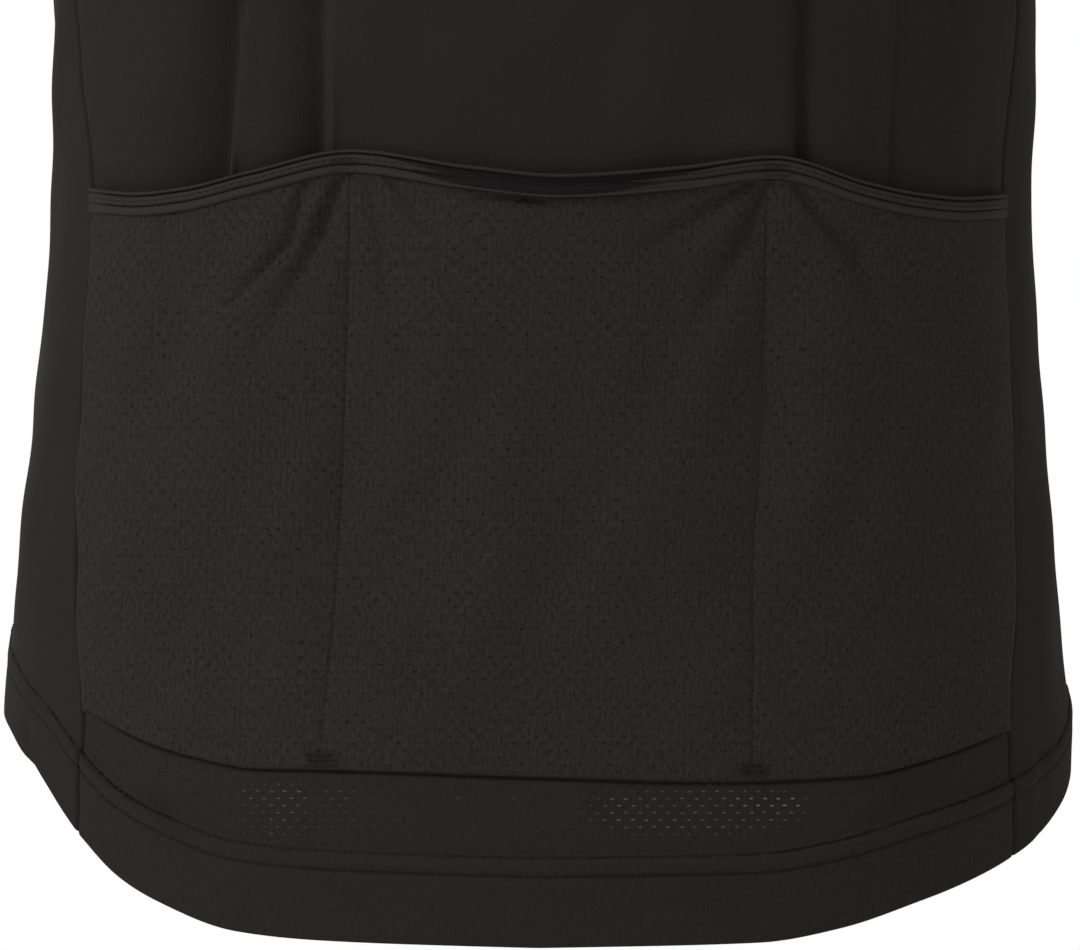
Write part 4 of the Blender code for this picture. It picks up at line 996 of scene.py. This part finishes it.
def backPanel():
    # the back, with painted daylight marked where spots, ovals of 1 - smooth step, show through the strip
    around, height = backGrid(124)
    across = bodyPoint(around, height)[..., 0]
    spots = ((0.0790, -0.6745, 0.036, 0.0110, 0.30), (0.0640, -0.6735, 0.022, 0.0070, 0.26),
             (0.0200, -0.6702, 0.014, 0.0018, 0.42), (-0.0509, -0.6738, 0.040, 0.0090, 0.40),
             (-0.0285, -0.6701, 0.012, 0.0020, 0.80), (-0.0533, -0.6795, 0.012, 0.0018, 0.80),
             (-0.0761, -0.6714, 0.014, 0.0040, 0.75), (0.0720, -0.6680, 0.016, 0.0016, 0.55))
    paintedLightShare = np.zeros(across.shape)
    for middleX, middleZ, halfX, halfZ, amount in spots:
        apart = ((across - middleX) / halfX) ** 2 + ((height - middleZ) / halfZ) ** 2
        paintedLightShare = np.maximum(paintedLightShare, amount * (1.0 - smoothStep(0.5, 1.2, apart)))
    piece = bodyPanel("back_panel", around, height, finishes["backKnit"], "back_knit", "middle",
                      {"paintedDaylight": paintedLightShare})
    secondFinish(piece, finishes["stripKnit"], height < pocket["lighterBelow"], 2)


def sideAndFront(word, side):
    # a side panel and a front, the right ones mirrored from the left but with their own seams and folds
    first = "start" if side > 0 else "end"
    flank = bodyPanel("side_panel_" + word, *sideGrid(44, side), finishes["sideKnit"], "side_knit", first)
    chest = bodyPanel("front_" + word, *frontGrid(80, side), finishes["backKnit"], "back_knit", first)


def pocketStitches():
    # one row down each divider, and short dense bars where the dividers meet the mouth and the foot
    rows = [liftedRow(*pocketFace(np.full(900, side * pocket["share"]), np.linspace(0.028, 0.955, 900)))
            for side in (1.0, -1.0)]
    sewn = [threads("divider_stitches", rows, dividerStitch, finishes["thread"])]
    bars = (  # distance across of both ends, and height
        (0.0700, 0.0604, -0.4564), (0.0696, 0.0608, -0.4601),
        (-0.0742, -0.0830, -0.4578), (-0.0745, -0.0826, -0.4612),
        (0.0780, 0.0676, -0.6571), (0.0774, 0.0684, -0.6590), (0.0786, 0.0690, -0.6553),
        (-0.0657, -0.0757, -0.6602), (-0.0664, -0.0760, -0.6621), (-0.0670, -0.0748, -0.6584))
    rows = []
    for start, end, high in bars:
        across, height = np.linspace(start, end, 60), np.full(60, high)
        lift = np.full(60, 0.0040 if high > -0.5 else 0.0018)
        rows.append(liftedRow(angleAcross(across, height), height, lift))
    return sewn + [threads("bartacks", rows, tackStitch, finishes["thread"])]


def pockets():
    # the pockets' face, drawn in beside the side seams and with its foot turned under by a quarter round
    size = 2.0 * closeSteps(200, 0.36) - 1.0
    beside = np.array((-0.0014, -0.0009, -0.0005, -0.0002, 0.0, 0.0002, 0.0005, 0.0009, 0.0014)) / 0.15
    size = np.unique(np.concatenate((size, pocket["share"] + beside, -pocket["share"] + beside)))
    rise = closeSteps(118, 0.185)
    around, height, lift = pocketFace(size[None, :], rise[:, None])
    points, normals = bodyPoint(around, height), bodyNormal(around, height)
    away = edgeDistances(points)
    seam = np.minimum(away["start"], away["end"])
    foot = 1.0 - (1.0 - np.clip(away["foot"] / pocket["rim"], 0.0, 1.0)) ** 2
    lift = lift - seamDip(seam, 0.0008) - 0.0007 * (1.0 - np.sqrt(foot))
    outer = points + normals * lift[..., None]
    across = away["start"] - away["start"][:, len(size) // 2][:, None]
    wall = pocket["wall"] * (0.35 + 0.65 * np.sqrt(foot))
    face = clothShell("pocket_panel", outer, normals, wall, finishes["meshKnit"],
                      ("pocket_panel",), clothPlace(across, height))
    sewn = pocketStitches()


def binding():
    # the elastic over the pockets' mouth: the pockets' face + normal * (its ridges, lower at both ends)
    size = 2.0 * closeSteps(330, 0.36, fine=(0.0005, 0.001)) - 1.0
    share = np.linspace(0.0, 1.0, band["rows"] + 1)
    around, height, _ = pocketFace(size[None, :], 1.0 + share[:, None])
    ends = 0.2 + 0.8 * smoothStep(0.0, 0.060, 1.0 - np.abs(size))[None, :]
    proud = bandLift(size[None, :], share[:, None]) * ends
    lift = pocketFace(size[None, :], np.full((1, 1), 1.001))[2] + proud  # just above the binding's foot
    points, normals = bodyPoint(around, height), bodyNormal(around, height)
    outer = points + normals * lift[..., None]
    across = np.cumsum(np.linalg.norm(np.diff(points[0], axis=0), axis=1))
    across = np.concatenate(([0.0], across))[None, :] + 0.0 * height
    marks = clothPlace(across, share[:, None] * band["width"] + 0.0 * height)
    bound = clothShell("pocket_band", outer, normals, proud + 0.0004, finishes["elastic"],
                       ("pocket_band",), marks)
    # painted shade: a darker copy of the elastic along both grooves, which widen until they meet in
    # mid-pocket, stands in for the shade of the rolled binding
    place = points[0, :, 0][None, :]
    upper = smoothStep(-0.065, -0.035, place) * (1.0 - smoothStep(0.026, 0.060, place))
    lower = smoothStep(-0.045, -0.018, place) * (1.0 - smoothStep(0.020, 0.050, place))
    inside = (np.abs(share[:, None] - 0.83) < 0.03 + 0.26 * upper) & (share[:, None] < 0.86)
    inside = inside | (np.abs(share[:, None] - 0.37) < 0.02 + 0.24 * lower)
    secondFinish(bound, finishes["elasticPaintedShade"], inside, 1)
    row = int(np.argmin(np.abs(share - band["stitches"])))
    sewn = threads("band_stitches", [(outer[row, 4:-4], normals[row, 4:-4])], bandStitch, finishes["thread"])


backPanel()
for word, side in (("left", 1), ("right", -1)):
    sideAndFront(word, side)
print("body panels made")
pockets()
binding()
print("pockets made")

sleeve = {
    "cuff": (0.303, -0.012, -0.2865), "radius": 0.055, "slant": math.radians(35.0),
    "topDroop": 25.0, "underDroop": 45.0, "hem": 0.020, "round": 0.070,
    "folds": np.array((  # distance round from the underarm, distance from the armhole; width; lift
        (0.0100, 0.0060, 0.1300, 0.0500, 0.0060, 0.0130, -0.0036, 0.0000),
        (0.0050, 0.0150, 0.1100, 0.0850, 0.0060, 0.0130, 0.0024, 0.0000),
        (0.0100, 0.0250, 0.0800, 0.1150, 0.0070, 0.0120, -0.0028, -0.0004),
        (-0.0100, 0.0060, -0.1400, 0.0450, 0.0060, 0.0130, -0.0036, 0.0000),
        (-0.0050, 0.0160, -0.1150, 0.0800, 0.0060, 0.0140, 0.0026, 0.0000),
        (-0.0120, 0.0260, -0.0900, 0.1120, 0.0070, 0.0110, -0.0030, -0.0004),
        (0.0900, 0.0700, 0.1600, 0.0950, 0.0090, 0.0120, -0.0014, 0.0000),
        (-0.0900, 0.0650, -0.1600, 0.1000, 0.0090, 0.0120, -0.0016, 0.0000),
    )),
}
collar = {"height": 0.040, "taper": 0.95, "forward": 0.006, "wall": 0.0016, "bow": 0.0010,
          "stitchBelow": 0.0040, "stitchDip": 0.0004}
zipper.update({"boxTop": 0.0093, "stop": 0.0031, "tapeWall": 0.0009, "pitch": 0.0014, "topstitch": 0.0060,
               "stepBack": 0.0020, "coilReach": 0.00075, "coilLean": 3.5})
coilTooth = {"pitch": zipper["pitch"], "length": 0.0019, "width": 0.00085}


def sleeves(word, side):
    # Hermite curves from the armhole to a round cuff: start and end, with their ways out
    turn = np.linspace(-math.pi, math.pi, 181)[:-1]
    around, height = armholeLine(turn, 1.0)
    start = bodyPoint(around, height)
    out = np.array((math.cos(sleeve["slant"]), 0.0, math.sin(sleeve["slant"])))
    along = np.array((math.sin(sleeve["slant"]), 0.0, -math.cos(sleeve["slant"])))
    end = np.array(sleeve["cuff"]) - sleeve["radius"] * np.cos(turn)[:, None] * out
    end[:, 1] += sleeve["radius"] * np.sin(turn)
    share = np.clip((height - armhole["foot"]) / (armhole["tip"] - armhole["foot"]), 0.0, 1.0)
    droop = np.radians(sleeve["underDroop"] + (sleeve["topDroop"] - sleeve["underDroop"]) * share)
    leave = np.stack((np.cos(droop), 0.0 * droop, -np.sin(droop)), axis=-1)
    reach = np.linalg.norm(end - start, axis=1)[:, None]
    run = float(reach.mean())
    fromEnd = np.concatenate((hemRows[hemRows[:, 0] == 0.0, 1], (0.005, 0.0075, 0.010),
                              sleeve["hem"] + hemRows[hemRows[:, 0] == 1.0, 1]))
    rest = closeSteps(66, run, (True, False)) * (1.0 - fromEnd[-1] / run)
    places = np.unique(np.concatenate((rest, 1.0 - fromEnd / run)))
    t = places[:, None, None]
    points = (2.0 * t ** 3 - 3.0 * t ** 2 + 1.0) * start + (3.0 * t ** 2 - 2.0 * t ** 3) * end
    points = points + (t ** 3 - 2.0 * t ** 2 + t) * leave * reach + (t ** 3 - t ** 2) * along * reach
    normals = gridNormals(points, True)
    fromCuff = (1.0 - places)[:, None] * run + 0.0 * turn
    fromArm = places[:, None] * run + 0.0 * turn
    roundIt = sleeve["round"] * turn[None, :] * (1.0 if side > 0 else -0.94) + 0.0 * fromArm
    lift = foldLift(sleeve["folds"], roundIt, fromArm)
    calm = 1.0 - smoothStep(2.5, 3.05, np.abs(turn))[None, :]
    lift = (lift + unevenLift(roundIt, fromArm, 0.0008, 5 + side) * calm) * smoothStep(0.0, 0.020, fromArm)
    lift = lift * (0.25 + 0.75 * smoothStep(0.018, 0.040, fromCuff)) + hemProfile(fromCuff - sleeve["hem"])
    lift = lift - seamDip(fromArm)
    wall = clothWall(fromCuff - sleeve["hem"])
    rounding = rimShare(fromCuff, 0.0010)
    joint = smoothStep(0.0, 0.006, fromArm)[..., None]
    normals = unit(bodyNormal(around, height) * (1.0 - joint) + normals * joint)
    outer = points + normals * (lift - 0.5 * wall * (1.0 - rounding))[..., None]
    marks = clothPlace(roundIt, fromArm)
    rows = []
    for back in (0.0, hem["rowGap"]):
        row = int(np.argmin(np.abs(fromCuff[:, 0] - (sleeve["hem"] - back))))
        rows.append((outer[row], normals[row]))
    if side < 0:
        flip = np.array((-1.0, 1.0, 1.0))
        outer, normals = (outer * flip)[:, ::-1], (normals * flip)[:, ::-1]
        marks = {"cloth": marks["cloth"][:, ::-1]}
        rows = [(path * flip, normal * flip) for path, normal in rows]
    arm = clothShell("sleeve_" + word, outer, normals, wall * rounding, finishes["backKnit"],
                     ("sleeve_" + word,), marks, ring=True)
    sewn = threads("cuff_stitches_" + word, rows, hemStitch, finishes["thread"])


def standCollar():
    # straight from the neckline to the same line drawn in and forward, bowed out by a sine; gives back
    # the foot and the top of its end at the zip
    direction = np.linspace(neck["zip"], 360.0 - neck["zip"], 281)
    base = bodyPoint(*neckPoint(direction))
    top = base * np.array((collar["taper"], collar["taper"], 1.0))
    top = top + np.array((0.0, -collar["forward"], collar["height"]))
    rise = np.unique(np.concatenate((closeSteps(24, collar["height"], (True, False)),
                                     1.0 - np.array((0.0002, 0.0005, 0.0009, 0.0015)) / collar["height"])))
    points = (1.0 - rise[:, None, None]) * base + rise[:, None, None] * top
    points[:, 0, 0], points[:, -1, 0] = zipper["edge"], -zipper["edge"]
    normals = gridNormals(points)
    normals[:, [0, -1], 0] = 0.0
    away = edgeDistances(points)
    joint = smoothStep(0.0, 0.004, away["foot"])[..., None]
    normals = unit(bodyNormal(*neckPoint(direction)) * (1.0 - joint) + unit(normals) * joint)
    normals[:, [0, -1], 0] = 0.0
    normals = unit(normals)
    ends = np.minimum(away["start"], away["end"])
    rounding = rimShare(np.minimum(away["top"], ends), 0.0009, 0.05)
    calm = smoothStep(0.002, 0.015, ends)
    uneven = unevenLift(away["start"], away["foot"], 0.0006, 21)
    lift = (collar["bow"] * np.sin(math.pi * rise)[:, None] + uneven) * calm
    lift = lift - seamDip(away["foot"])
    lift = lift - collar["stitchDip"] * np.exp(-((away["top"] - collar["stitchBelow"]) / 0.0006) ** 2)
    outer = points + normals * (lift - 0.5 * collar["wall"] * (1.0 - rounding))[..., None]
    stand = clothShell("collar", outer, normals, collar["wall"] * rounding, finishes["backKnit"],
                       ("collar",), clothPlace(away["start"], away["foot"]))
    row = int(np.argmin(np.abs(away["top"].mean(axis=1) - collar["stitchBelow"])))
    sewn = threads("collar_stitches", [(outer[row, 4:-4], normals[row, 4:-4])], hemStitch, finishes["thread"])
    return base[0], top[0]


def zipStrip(neckEnd, collarEnd):
    # the front's middle line from the box to the neck, then the collar's end up to the slider; the tape
    # steps back by a smooth step under the fronts' edges
    heights = np.linspace(float(hemHeight(np.array(0.0))) + zipper["boxTop"], neckEnd[2], 240)
    lower = bodyPoint(np.zeros(240), heights)
    shares = np.linspace(0.0, 1.0 - zipper["stop"] / collar["height"], 30)[1:, None]
    upper = neckEnd + shares * (collarEnd - neckEnd)
    path = np.concatenate((lower, upper)) * np.array((0.0, 1.0, 1.0))
    out = unit(np.cross(np.array((1.0, 0.0, 0.0)), np.gradient(path, axis=0)))
    across = np.array((0.0002, 0.0010, 0.0018, 0.0024, 0.0028, 0.0031, 0.0034, 0.0038, 0.0044, 0.0065))
    across = np.concatenate((-across[::-1], across))
    proud = -0.0004 - 0.0003 * np.exp(-(across / 0.0004) ** 2)
    proud = proud - zipper["stepBack"] * smoothStep(0.0028, 0.0038, np.abs(across))
    tape = path[:, None] + across[None, :, None] * np.array((1.0, 0.0, 0.0))
    tape = tape + out[:, None] * proud[None, :, None]
    flat = out[:, None] + 0.0 * tape
    zipTape = clothShell("zip_tape", tape, flat, zipper["tapeWall"], finishes["tape"], ("zip",),
                         clothPlace(across[None, :], path[:, 2:3]))
    for word, side in (("left", 1.0), ("right", -1.0)):
        row = path + np.array((side * zipper["coilReach"], 0.0, 0.0)) + out * 0.0002
        threads("zip_coil_" + word, [(row, out)], coilTooth, finishes["coil"],
                             lean=side * zipper["coilLean"])
        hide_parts("zip")


def topstitches():
    # two rows round the hem, following the cloth, and one row beside each edge of the zip
    around = np.linspace(3.0, 357.0, 4200)
    rows = []
    for down in (0.0, hem["rowGap"]):
        height = hemHeight(around) + hemDepth(around) - down
        rows.append(liftedRow(around, height, garmentLift(around, height)))
    threads("hem_stitches", rows, hemStitch, finishes["thread"])
    rows = []
    for side in (1.0, -1.0):
        height = np.linspace(float(hemHeight(np.array(0.0))) + 0.0310, -0.078, 900)
        turn = besideZip(zipper["edge"] + zipper["topstitch"], height)
        around = turn if side > 0 else 360.0 - turn
        rows.append(liftedRow(around, height, garmentLift(around, height)))
    threads("zip_topstitches", rows, hemStitch, finishes["thread"])


for word, side in (("left", 1), ("right", -1)):
    sleeves(word, side)
zipStrip(*standCollar())
topstitches()
for name in ("zip_slider", "zip_pull", "zip_box"):
    metalPart = bpy.data.objects[name]
    for holder in metalPart.material_slots:
        holder.material = finishes["metal"]
    edge = metalPart.modifiers.new("SoftEdges", "BEVEL")
    edge.width, edge.segments, edge.limit_method = 0.00018, 3, "ANGLE"
print("sleeves, collar, zip and stitches made")

softBoxes = {
    "KeySoftBox": {"place": (2.5, 1.5, 1.0), "size": 1.3, "power": 37.0},
    "FillSoftBox": {"place": (-1.6, 3.2, 0.6), "size": 2.2, "power": 2.4},
    "FrontSoftBox": {"place": (0.6, -3.1, 1.3), "size": 1.6, "power": 32.0},
}
studio = {"surround": 0.44, "floor": -1.45, "floorRadius": 2.4}


def makeLight(name, look):
    # square soft box that faces the middle of the jersey
    light = bpy.data.lights.new(name, "AREA")
    light.shape, light.size, light.energy = "SQUARE", look["size"], look["power"]
    lamp = bpy.data.objects.new(name, light)
    lamp.location = look["place"]
    aim = np.array((0.0, 0.0, -0.45)) - np.array(look["place"])
    yaw = math.atan2(-aim[0], aim[1])
    pitch = math.acos(-aim[2] / np.linalg.norm(aim))
    lamp.rotation_euler = (pitch, 0.0, yaw)
    bpy.context.scene.collection.objects.link(lamp)


for name, look in softBoxes.items():
    makeLight(name, look)
world = bpy.data.worlds.new("WhiteStudio")
bpy.context.scene.world = world
world.use_nodes = True
world.node_tree.nodes.clear()
seen = addNode(world.node_tree, "LightPath", output="Is Camera Ray")
power = addNode(world.node_tree, "MapRange",
                inputs={"Value": seen, "To Min": studio["surround"], "To Max": 1.0})
background = addNode(world.node_tree, "Background",
                     inputs={"Color": hexColour("#ffffff"), "Strength": power})
addNode(world.node_tree, "OutputWorld", inputs={"Surface": background})
bpy.context.scene.view_settings.view_transform = "Standard"

angles = np.linspace(0.0, 2.0 * math.pi, 97)[:-1]
rings = np.array((0.02, 0.8, 1.6, 2.4)) / 2.4 * studio["floorRadius"]
disc = np.stack((rings[:, None] * np.cos(angles), rings[:, None] * np.sin(angles),
                 np.full((4, 96), studio["floor"])), axis=-1)
floorMesh = bpy.data.meshes.new("StudioFloor")
floorFaces = gridFaces(4, 96, True)[:, ::-1].tolist() + [list(range(96))]
floorMesh.from_pydata(disc.reshape(-1, 3).tolist(), [], floorFaces)
floor = bpy.data.objects.new("StudioFloor", floorMesh)
bpy.context.scene.collection.objects.link(floor)
floorFinish, floorTree = newFinish("MattWhitePaint")
paint = addNode(floorTree, "BsdfPrincipled", inputs={
    "Base Color": hexColour("#e9e8e6"), "Roughness": 0.8})
addNode(floorTree, "OutputMaterial", inputs={"Surface": paint})
floorMesh.materials.append(floorFinish)

lens = bpy.data.cameras.new("Camera")
lens.sensor_width = 36.0
lens.lens = 36.0 * camera["distance"] / camera["seen"]
lens.clip_start, lens.clip_end = 0.5, 60.0
eye = bpy.data.objects.new("Camera", lens)
eye.location = (camera["across"], camera["face"] + camera["distance"], camera["height"])
eye.rotation_euler = (math.radians(90.0), 0.0, math.radians(180.0))
bpy.context.scene.collection.objects.link(eye)
bpy.context.scene.camera = eye
print("studio made")
